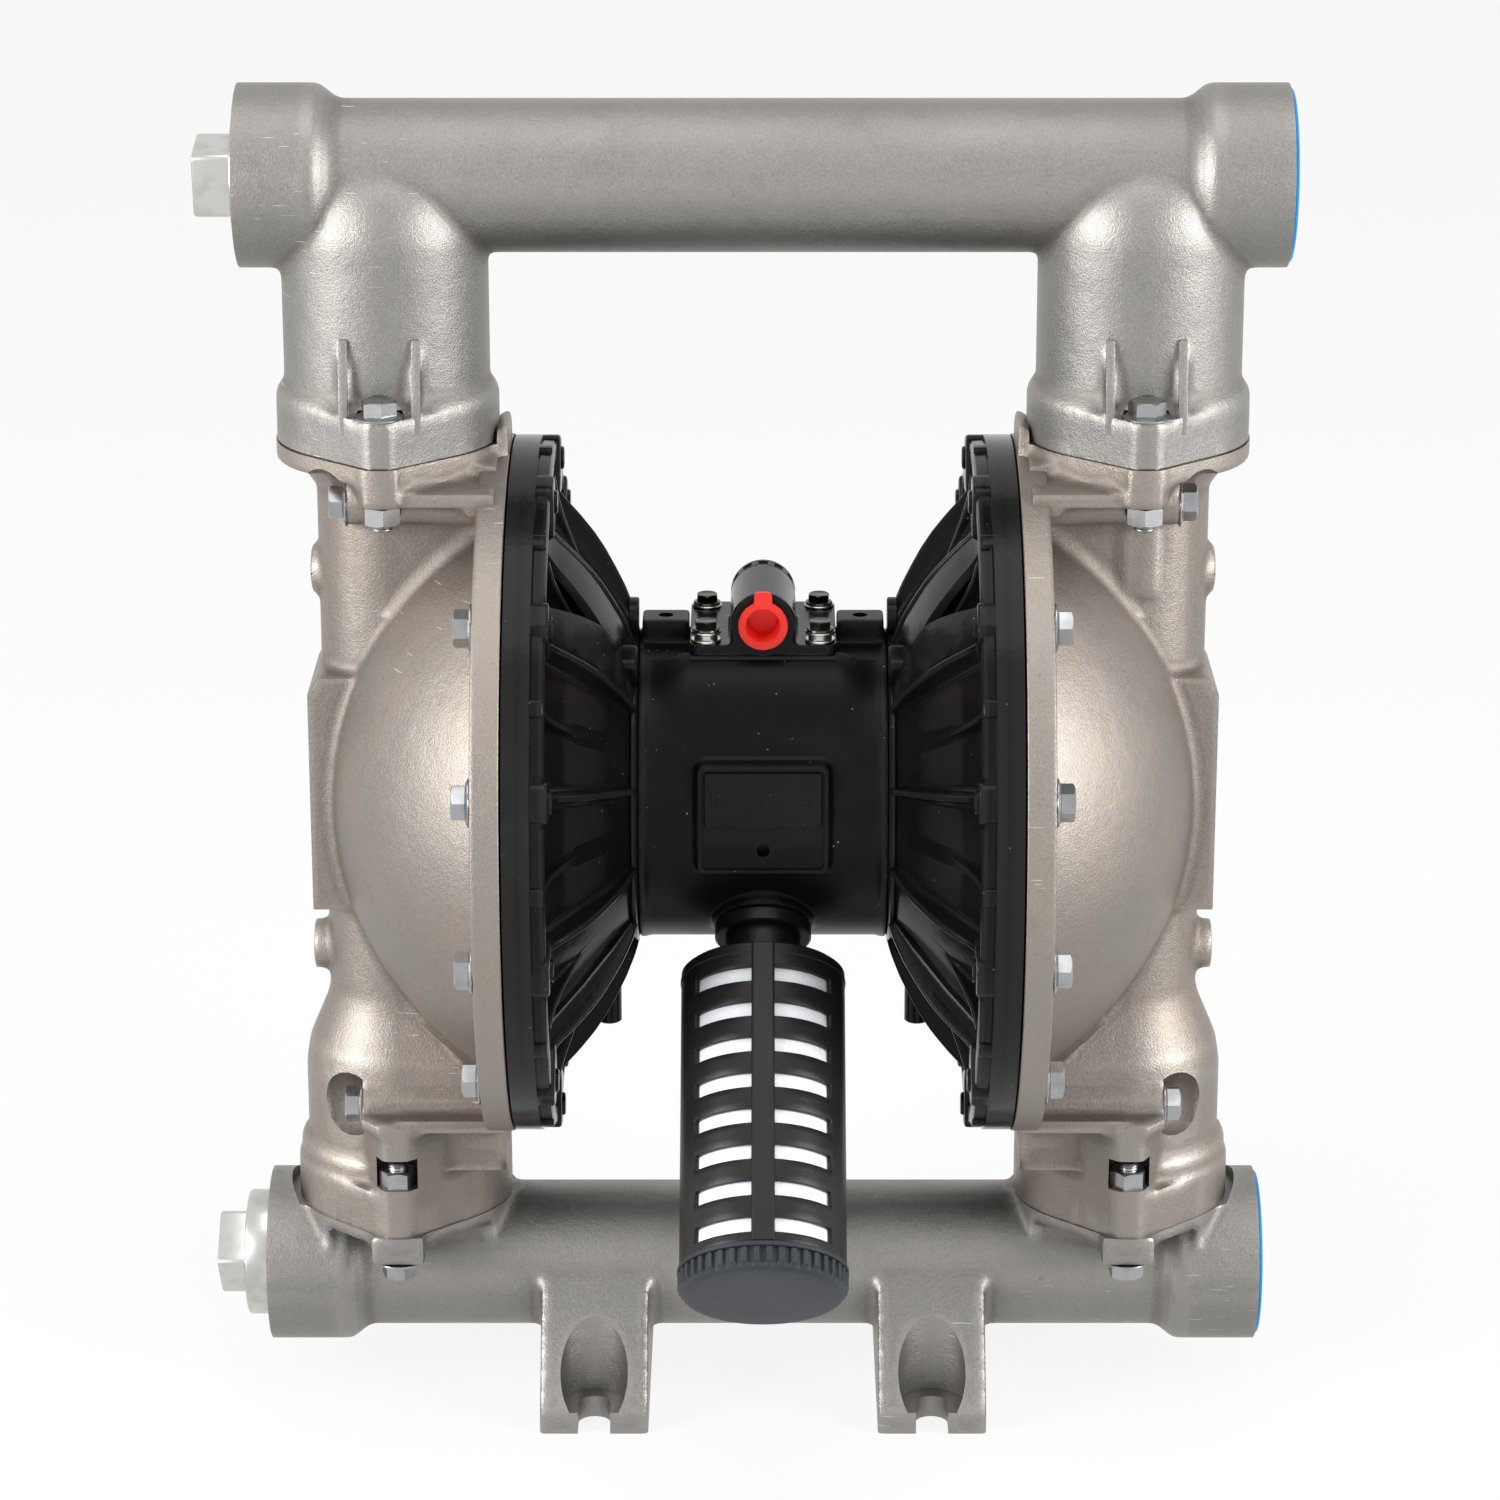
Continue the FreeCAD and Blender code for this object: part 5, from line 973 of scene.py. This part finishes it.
def centre_cuts():
    """The sunk panel, the lugs' holes and the round hole in the panel."""
    panel = extrude("Y", rounded_plate(28.3, 286.2, 334.3, 3), -80, -73.0)
    holes = [rod("Z", 3.5, 373, 400, (side * LUG_X, 0, 0)) for side in SIGNS]
    return [[panel], holes, [rod("Y", 3, -80, -67, (0, 0, 295))]]


def centre_body():
    """The barrel with its panel; the plate and its two rivets are set into the panel afterwards."""
    piece = cast("centre_casting", centre_forms(), centre_cuts(), 1.3, 2)
    plate = layered("Y", rounded_plate(27.2, 306.6, 333.2, 2, 5), [(-70, 0), (-74.0, 0), (-74.4, 0.5)])
    rivet = [(-72, 0), (-72, 1.7), (-74.7, 1.6), (-75.0, 0.9), (-75.0, 0)]
    rivets = [lathe("Y", rivet, (side * 20.5, 0, 319.1), 24) for side in SIGNS]
    combine(piece, "UNION", [[plate], rivets])
    # The plate and rivets have no hollow marks, so the black coat paints its edge highlight all over them
    smooth_shading(piece)
    return piece


def muffler_matrix():
    """From the muffler's own Z to its line, down and forwards from the shaft."""
    return Matrix.Translation((0, 0, SHAFT_HEIGHT)) @ Matrix.Rotation(math.radians(135), 4, "X")


# Fasteners
def hexagon(width, height):
    """A hexagon head: radius (width / 2) / cos(angle from a flat), its corners cut back by a cone."""
    chamfer, steps, sixth = 0.94, 72, math.pi / 3
    angle = whole_turn(steps)
    reach = width / 2 / np.cos((angle + sixth / 2) % sixth - sixth / 2)
    inner = chamfer * width / 2
    edge = height - (reach - inner) * math.tan(math.radians(30))
    dish = height - 0.5
    rings = [(0, 0), (0, reach), (edge, reach), (height, inner), (dish, inner * 0.75), (dish, 0)]
    level, radius = (np.stack([np.broadcast_to(ring[part], steps) for ring in rings]) for part in (0, 1))
    return revolved("Z", level, radius, steps)


def bolt_head(sizes):
    """A washer face with a hexagon on it, standing up from zero."""
    rim, top = sizes.washer_radius, sizes.washer_height
    profile = [(0, 0), (0, rim - 0.3), (0.4, rim), (0.9, rim), (top, rim - 2.2), (top, 0)]
    washer = lathe("Z", profile, steps=48)
    return [washer, shifted(hexagon(sizes.head_width, sizes.head_height), 0, 0, top)]


def bolt_tip(sizes, end):
    """The free end of a shank up to `end`, with rounded threads and a chamfer."""
    pitch = 1.5
    along = np.linspace(0, end - 1, max(4, int((end - 1) / pitch * 6)))
    radius = sizes.shank_radius - 0.45 * (0.5 - 0.5 * np.cos(2 * math.pi * along / pitch))
    return lathe("Z", [(0, 0), *zip(along, radius), (end, sizes.shank_radius - 1.2), (end, 0)], steps=36)


def stood(forms, origin, direction, spin=0.0):
    """Forms with their Z turned to a direction and their origin moved to a place."""
    turn = Vector((0, 0, 1)).rotation_difference(Vector(direction)).to_matrix().to_4x4()
    matrix = Matrix.Translation(origin) @ turn @ Matrix.Rotation(math.radians(spin), 4, "Z")
    return [moved(form, matrix) for form in forms]


def fastener_group(name, forms, node, finish="bright"):
    dressed(name, forms, 28, finish, "root", "fastener_steel", node)


def cover_point(angle, x):
    angle = math.radians(angle)
    return x, COVER_CIRCLE * math.cos(angle), SHAFT_HEIGHT + COVER_CIRCLE * math.sin(angle)


class PUMP_OT_manifolds(bpy.types.Operator):
    """Builds the outlet and inlet manifold castings"""
    bl_idname = "pump.manifolds"
    bl_label = "Manifolds"

    def execute(self, context):
        sizes = context.scene.pump_castings
        finish_piece(top_manifold(sizes), "manifold", "root", "manifold_steel", "top_manifold")
        finish_piece(bottom_manifold(sizes), "manifold", "root", "manifold_steel", "bottom_manifold")
        return {"FINISHED"}


class PUMP_OT_fluid_covers(bpy.types.Operator):
    """Builds the two fluid cover castings"""
    bl_idname = "pump.fluid_covers"
    bl_label = "Fluid covers"

    def execute(self, context):
        sizes = context.scene.pump_castings
        for sign, name in SIDES:
            piece = fluid_cover(sizes, sign, name)
            finish_piece(piece, "cover", "root", "cover_steel", f"{name}_fluid_cover")
        return {"FINISHED"}


class PUMP_OT_air_section(bpy.types.Operator):
    """Builds the two air covers and the centre body"""
    bl_idname = "pump.air_section"
    bl_label = "Air section"

    def execute(self, context):
        for sign, name in SIDES:
            finish_piece(air_cover(sign, name), "gloss_black", "root", "black_aluminium", f"{name}_air_cover")
        finish_piece(centre_body(), "body_black", "root", "black_aluminium", "center_body")
        return {"FINISHED"}


class PUMP_OT_fasteners(bpy.types.Operator):
    """Builds the flange and cover bolts and their nuts"""
    bl_idname = "pump.fasteners"
    bl_label = "Fasteners"

    def execute(self, context):
        sizes = context.scene.pump_fasteners
        ear = context.scene.pump_castings.ear_offset
        places = [(x * COLUMN_X, y * ear) for x in SIGNS for y in SIGNS]
        nut = hexagon(sizes.nut_width, sizes.nut_height)
        for name, head_seat, nut_seat, up, more in (("outlet", OUTLET_HEAD_SEAT, OUTLET_NUT_SEAT, 1, 9),
                                                    ("inlet", INLET_HEAD_SEAT, INLET_NUT_SEAT, -1, 21)):
            bolts, nuts = [], []
            for (x, y), spin in zip(places, (12, 47, 23, 5)):
                bolts += stood(bolt_head(sizes), (x, y, head_seat), (0, 0, up), spin)
                bolts += stood([bolt_tip(sizes, 11.8)], (x, y, nut_seat), (0, 0, -up))
                nuts += stood([nut], (x, y, nut_seat), (0, 0, -up), spin + more)
            fastener_group(f"{name}_bolt_set", bolts, f"{name}_flange_bolts")
            fastener_group(f"{name}_nut_set", nuts, f"{name}_flange_nuts")
        for sign, side in SIDES:
            for label, angles, seat in (("cover_bolts", SHORT_BOLT_ANGLES, COVER_FACE),
                                        ("long_cover_bolts", LONG_BOLT_ANGLES, LONG_BOLT_SEAT)):
                forms = []
                for angle in angles:
                    forms += stood(bolt_head(sizes), cover_point(angle, sign * seat), (sign, 0, 0), 7 * angle)
                    forms += stood([bolt_tip(sizes, 2.2)], cover_point(angle, sign * 96.2), (-sign, 0, 0))
                fastener_group(f"{side}_{label}_set", forms, f"{side}_{label}")
        return {"FINISHED"}


def pipe_plug(height, collar, head, lean):
    """A pipe plug's square head, turned about the port's axis, and its collar in the port at -FACE_X."""
    across, up = rounded_plate(15.2, -15.2, 15.2, 3.2, 8).T
    face, start = -FACE_X, -FACE_X - collar
    layers = [(start + 2, 1.0), (start - head + 1.4, 1.0), (start - head + 0.4, 0.975), (start - head, 0.93)]
    rings = [on_axis("X", along, across * scale, up * scale) for along, scale in layers]
    turn = Matrix.Translation((0, 0, height)) @ Matrix.Rotation(math.radians(lean), 4, "X")
    profile = [(face + 20, 0), (face + 20, 28.2), (face - 0.3, 28.2), (face - 0.6, 29.6), (face - 1.2, 30.4),
               (start + 1.6, 30.4), (start + 0.5, 29.8), (start, 28.4), (start, 0)]
    return [moved(closed_form(np.stack(rings)), turn), lathe("X", profile, (0, 0, height), 96)]


class PUMP_OT_ports(bpy.types.Operator):
    """Builds the pipe plugs and the blue guard rings"""
    bl_idname = "pump.ports"
    bl_label = "Plugs and guard rings"

    def execute(self, context):
        profile = [(239.3, 34), (239.3, 39.2), (239.6, 39.5), (240.4, 39.5), (240.7, 39.2), (240.7, 34),
                   (239.3, 34)]
        for name, height, collar, head, lean in (("outlet", OUTLET_AXIS, 2, 18, 10),
                                                 ("inlet", INLET_AXIS, 12, 14, 38)):
            dressed(f"{name}_pipe_plug", pipe_plug(height, collar, head, lean), 30, "turned", "root",
                    "fastener_steel", f"{name}_plug")
            dressed(f"{name}_guard_ring", [lathe("X", profile, (0, 0, height), 128)], 35, "blue",
                    f"{name}_ring_body", "blue_plastic", f"{name}_port_ring")
        return {"FINISHED"}


class PUMP_OT_muffler(bpy.types.Operator):
    """Builds the muffler's cage, ribbed cap, sleeve and nipple"""
    bl_idname = "pump.muffler"
    bl_label = "Muffler"

    def execute(self, context):
        line = muffler_matrix()
        finish_piece(cage_piece(line), "cage", "root", "black_plastic", "muffler_cage")
        sleeve = lathe("Z", [(107, 26), (107, 35.3), (246.8, 35.3), (246.8, 26), (107, 26)])
        level = np.linspace(61, 75, 60)
        thread = zip(level, 17 - 0.6 * np.cos(2 * math.pi * level / 1.8))
        nipple = lathe("Z", [(61, 13), *thread, (75.5, 22), (76, 22.5), (81.5, 22.5), (82.3, 21.5),
                             (82.3, 17.5), (105.8, 17.5), (105.8, 13), (61, 13)])
        for name, form, degrees, finish, slot, node in (
                ("muffler_ribbed_cap", cap_form(), 30, "cap", "grey_plastic", "muffler_end_cap"),
                ("muffler_sleeve", sleeve, 35, "filter", "filter_white", "muffler_element"),
                ("muffler_pipe_nipple", nipple, 35, "cage", "black_plastic", "muffler_nipple")):
            dressed(name, [moved(form, line)], degrees, finish, "root", slot, node)
        return {"FINISHED"}


def slotted_wall():
    """The cage's wall: a tube on a grid of angle and height, left out where a slot is.

    Eight rows of slots stand 17.5 mm apart and are 7 mm high. Each slot runs from 8 to 55 degrees off a bar.
    """
    slots = [(113 + 17.5 * row, 120 + 17.5 * row) for row in range(8)]
    levels = np.array([106.0, *np.ravel(slots), 247.0])
    levels = np.unique(np.concatenate([np.linspace(a, b, 4) for a, b in zip(levels[:-1], levels[1:])]))
    angles = np.arange(0, 360, 1.0)
    turn = np.radians(angles)
    points, faces = grid_form(on_axis("Z", levels[:, None], 38 * np.cos(turn), 38 * np.sin(turn)))
    from_bar = np.abs((angles + 0.5) % 180 - 90)
    open_angle = (from_bar > 8) & (from_bar < 55)
    middle = (levels[:-1] + levels[1:]) / 2
    open_level = np.any([(middle > low) & (middle < high) for low, high in slots], axis=0)
    is_open = (open_level[:, None] & open_angle).ravel()
    return points, [face for face, gap in zip(faces, is_open) if not gap]


def cage_piece(line):
    """The slotted wall, thickened inwards and bevelled, with two bars, a lid and a seam."""
    cage = new_object("muffler_slotted_cage", [moved(slotted_wall(), line)])
    wall = cage.modifiers.new("Wall", "SOLIDIFY")
    wall.thickness = 2.4 * MM
    wall.offset = -1
    edge = cage.modifiers.new("Edge", "BEVEL")
    edge.width = 0.5 * MM
    edge.segments = 2
    edge.limit_method = "ANGLE"
    edge.angle_limit = math.radians(50)
    apply_modifiers(cage)
    bar = extrude("Z", rounded([(-5.5, 36.5), (5.5, 36.5), (5.0, 39.0), (-5.0, 39.0)], 1.0, 4), 101.5, 246.9)
    bars = [moved(bar, line @ Matrix.Rotation(math.radians(turn), 4, "Z")) for turn in (0, 180)]
    lid = lathe("Z", [(100, 17.6), (100, 36.5), (101.2, 38), (107, 38), (107, 17.6), (100, 17.6)], steps=144)
    seam = lathe("Z", [(104.5, 37), (104.5, 38.35), (105.6, 38.35), (106.1, 37.8), (106.1, 37), (104.5, 37)],
                 steps=144)
    extra = new_object("muffler_cage_bars", bars + [moved(lid, line), moved(seam, line)])
    merged = bmesh.new()
    merged.from_mesh(cage.data)
    merged.from_mesh(extra.data)
    merged.to_mesh(cage.data)
    merged.free()
    bpy.data.objects.remove(extra)
    smooth_shading(cage, 32)
    return cage


def cap_form():
    """The end cap: its ribbed side has the radius 36.8 + 1.9 * a steep wave of 42 ribs."""
    wave = 0.5 + 0.5 * np.tanh(3.5 * np.cos(42 * whole_turn(720)))
    rings = [(247.0, 30.0, 0), (247.0, 38.4, 0), (247.5, 38.9, 0), (249.3, 38.9, 0), (249.6, 36.8, 0),
             (249.9, 36.8, 1.9), (256.4, 36.8, 1.9), (257.2, 36.8, 0.9), (258.6, 36.8, 0.0), (259.6, 35.6, 0),
             (260.0, 33.8, 0), (260.0, 20, 0), (260.0, 0, 0)]
    return waved_lathe("Z", rings, wave)


class PUMP_OT_air_valve(bpy.types.Operator):
    """Builds the air valve housing, its end ring, red cap, screws and washers"""
    bl_idname = "pump.air_valve"
    bl_label = "Air valve"

    def execute(self, context):
        finish_piece(valve_housing(), "gloss_black", "root", "black_aluminium", "air_valve_housing")
        dressed("valve_end_ring", [end_ring()], 30, "cage", "root", "black_plastic", "housing_end_ring")
        dressed("air_inlet_red_cap", red_cap(), 32, "red", "inlet_cap_body", "red_plastic", "air_inlet_cap")
        screws, washers = valve_screws()
        fastener_group("valve_screw_set", screws, "valve_screws", "dark_screw")
        fastener_group("valve_washer_set", washers, "valve_washers", "turned")
        return {"FINISHED"}


def valve_housing():
    """The valve's base plate, and the barrel with its saddle on it, bored from the front."""
    center = (0, 0, VALVE_HEIGHT)
    base = extrude("Z", rounded_plate(34, -36, 36, 4), 377.5, 383)
    barrel = rod("Y", 15.2, -37, 12, center, 96)
    saddle = box((-15.2, 15.2), (-36.5, 11), (378, VALVE_HEIGHT))
    inlet = lathe("Y", [(-45, 0), (-45, 9.8), (-37, 9.8), (-35.5, 9.5), (-19, 9.5), (-19, 0)], center, 96)
    under = box((-60, 60), (-60, 60), (360, 377.5))
    return cast("air_valve_casting", [base, barrel, saddle], [[inlet], [under]], 1.0, 3)


def valve_screws():
    """The screws at the base's corners, with a stack of washers (low, thickness, radius) under each."""
    head = [lathe("Z", [(0, 0), (0, 6.2), (0.5, 6.5), (1.2, 6.2), (1.6, 5.2), (1.6, 0)], steps=40),
            shifted(hexagon(9.4, 3.6), 0, 0, 1.4)]
    screws, washers = [], []
    for x in (-26.5, 26.5):
        for y in (-28.5, 28.5):
            stack = [(383.0, 1.2, 7.0)]
            if y < 0:
                stack += [(384.2, 2.6, 5.5), (386.8, 1.2, 7.0)]
            seat = stack[-1][0] + 1.2
            screws += stood(head, (x, y, seat), (0, 0, 1), x + y)
            for low, rise, rim in stack:
                high = low + rise
                washers.append(lathe("Z", [(low, 3), (low, rim - 0.25), (low + 0.3, rim), (high - 0.3, rim),
                                           (high, rim - 0.25), (high, 3), (low, 3)], (x, y, 0), 48))
    return screws, washers


def end_ring():
    """The ring at the barrel's back: a wall whose outer radius dips by 2.6 at twelve windows."""
    wave = 0.5 + 0.5 * np.tanh(5 * np.cos(12 * whole_turn(384)))
    rings = [(12.0, 11, 0), (12.0, 15.1, 0), (13.0, 15.1, 0), (13.4, 15.1, -2.6), (17.8, 15.1, -2.6),
             (18.2, 15.1, 0), (20.4, 15.1, 0), (21.0, 14.5, 0), (21.0, 12, 0), (16.0, 11, 0), (12.0, 11, 0)]
    return waved_lathe("Y", rings, wave, (0, 0, VALVE_HEIGHT))


def red_cap():
    """The red cap: a flange with a hollow middle and a pull tab on top."""
    body = lathe("Y", [(-23.5, 0), (-23.5, 9.0), (-37.3, 9.2), (-37.3, 11.2), (-37.6, 11.5), (-39.0, 11.5),
                       (-39.3, 11.2), (-39.3, 8.3), (-38.6, 7.8), (-27, 7.2), (-25.6, 6.4), (-25.2, 0)],
                 (0, 0, VALVE_HEIGHT), 96)
    outline = rounded([(-4.3, 401), (4.3, 401), (4.0, 409.3), (-4.0, 409.3)], 2.4, 8)
    return [body, extrude("Y", outline, -39.2, -37.4)]


class PUMP_OT_hidden_parts(bpy.types.Operator):
    """Gives the parts inside the pump their finishes"""
    bl_idname = "pump.hidden_parts"
    bl_label = "Hidden parts"

    def execute(self, context):
        finishes = {"rubber": ("diaphragm", "seat_rings", "seal", "gasket"), "ptfe": ("_seat_", "ball"),
                    "turned": ("plate", "shaft", "pilot_rod", "spool"), "bronze": ("bushing",),
                    "anodised": ("sleeve", "bore_plugs")}
        for name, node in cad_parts.items():
            for finish, words in finishes.items():
                if any(word in name for word in words):
                    node.data.materials.clear()
                    node.data.materials.append(Finish.get(finish))
        return {"FINISHED"}


class PUMP_OT_stage(bpy.types.Operator):
    """Sets the floor, the soft lights and the camera"""
    bl_idname = "pump.stage"
    bl_label = "Stage"

    def execute(self, context):
        scene = context.scene
        floor = new_object("studio_floor", [box((-6000, 6000), (-6000, 6000), (-3, -0.2))])
        floor.data.materials.append(pale_floor())
        scene.world = studio_world()
        for name, place, target, size, power in (
                ("key_left", (-2.3, -1.3, 1.05), (0, 0, 0.35), 1.5, 84),
                ("key_right", (2.35, -1.15, 1.0), (0, 0, 0.35), 1.5, 74),
                ("top_soft", (0, -0.4, 2.5), (0, 0, 0.3), 1.6, 14)):
            light = bpy.data.lights.new(name, "AREA")
            light.energy = power
            light.size = size
            lamp = bpy.data.objects.new(name, light)
            lamp.location = place
            lamp.rotation_euler = (Vector(target) - Vector(place)).to_track_quat("-Z", "Y").to_euler()
            scene.collection.objects.link(lamp)
        data = bpy.data.cameras.new("photo_camera")
        data.lens = 119.5
        data.sensor_width = 36
        data.shift_x = -0.0087
        data.clip_end = 50
        camera = bpy.data.objects.new("photo_camera", data)
        camera.location = (0, -2.2397, 1.0551)
        camera.rotation_euler = (math.radians(90 - 18.166), 0, 0)
        scene.collection.objects.link(camera)
        scene.camera = camera
        scene.view_settings.view_transform = "Standard"
        return {"FINISHED"}


def pale_floor():
    """A pale floor that a seeing ray finds nearly white, and that keeps the object's shadow."""
    shader = Shader(bpy.data.materials.new("pale_floor"))
    diffuse = shader.node("ShaderNodeBsdfDiffuse", {}, (0.86, 0.86, 0.86))
    glow = shader.node("ShaderNodeEmission", {}, WHITE, 1.0)
    return shader.close(shader.node("ShaderNodeMixShader", {}, shader.seen_rays() * 0.86, diffuse, glow))


def studio_world():
    """White behind the object for a seeing ray, and a softer light from all round for the others."""
    shader = Shader(bpy.data.worlds.new("studio_world"))
    soft = shader.node("ShaderNodeBackground", {}, WHITE, 0.50)
    white = shader.node("ShaderNodeBackground", {}, WHITE, 1.0)
    mixed = shader.node("ShaderNodeMixShader", {}, shader.seen_rays(), soft, white)
    return shader.close(mixed, "ShaderNodeOutputWorld")


class PUMP_PT_panel(bpy.types.Panel):
    """Sizes, colours and build steps of the pump"""
    bl_idname = "PUMP_PT_panel"
    bl_label = "Diaphragm pump"
    bl_space_type = "VIEW_3D"
    bl_region_type = "UI"
    bl_category = "Pump"

    def draw(self, context):
        for group in (context.scene.pump_castings, context.scene.pump_fasteners, context.scene.pump_finishes):
            for key in group.bl_rna.properties.keys():
                if key not in ("rna_type", "name"):
                    self.layout.prop(group, key)
        for operator in OPERATORS:
            self.layout.operator(operator.bl_idname)


GROUPS = {"pump_castings": PumpCastings, "pump_fasteners": PumpFasteners, "pump_finishes": PumpFinishes}
OPERATORS = (PUMP_OT_stage, PUMP_OT_manifolds, PUMP_OT_fluid_covers, PUMP_OT_air_section, PUMP_OT_fasteners,
             PUMP_OT_ports, PUMP_OT_muffler, PUMP_OT_air_valve, PUMP_OT_hidden_parts)
CLASSES = (*GROUPS.values(), *OPERATORS, PUMP_PT_panel)


def register():
    for item in CLASSES:
        bpy.utils.register_class(item)
    for name, group in GROUPS.items():
        setattr(bpy.types.Scene, name, bpy.props.PointerProperty(type=group))


def unregister():
    for name in GROUPS:
        delattr(bpy.types.Scene, name)
    for item in reversed(CLASSES):
        bpy.utils.unregister_class(item)


def main():
    """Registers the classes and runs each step."""
    register()
    for operator in OPERATORS:
        group, name = operator.bl_idname.split(".")
        getattr(getattr(bpy.ops, group), name)()


if __name__ == "__main__":
    main()
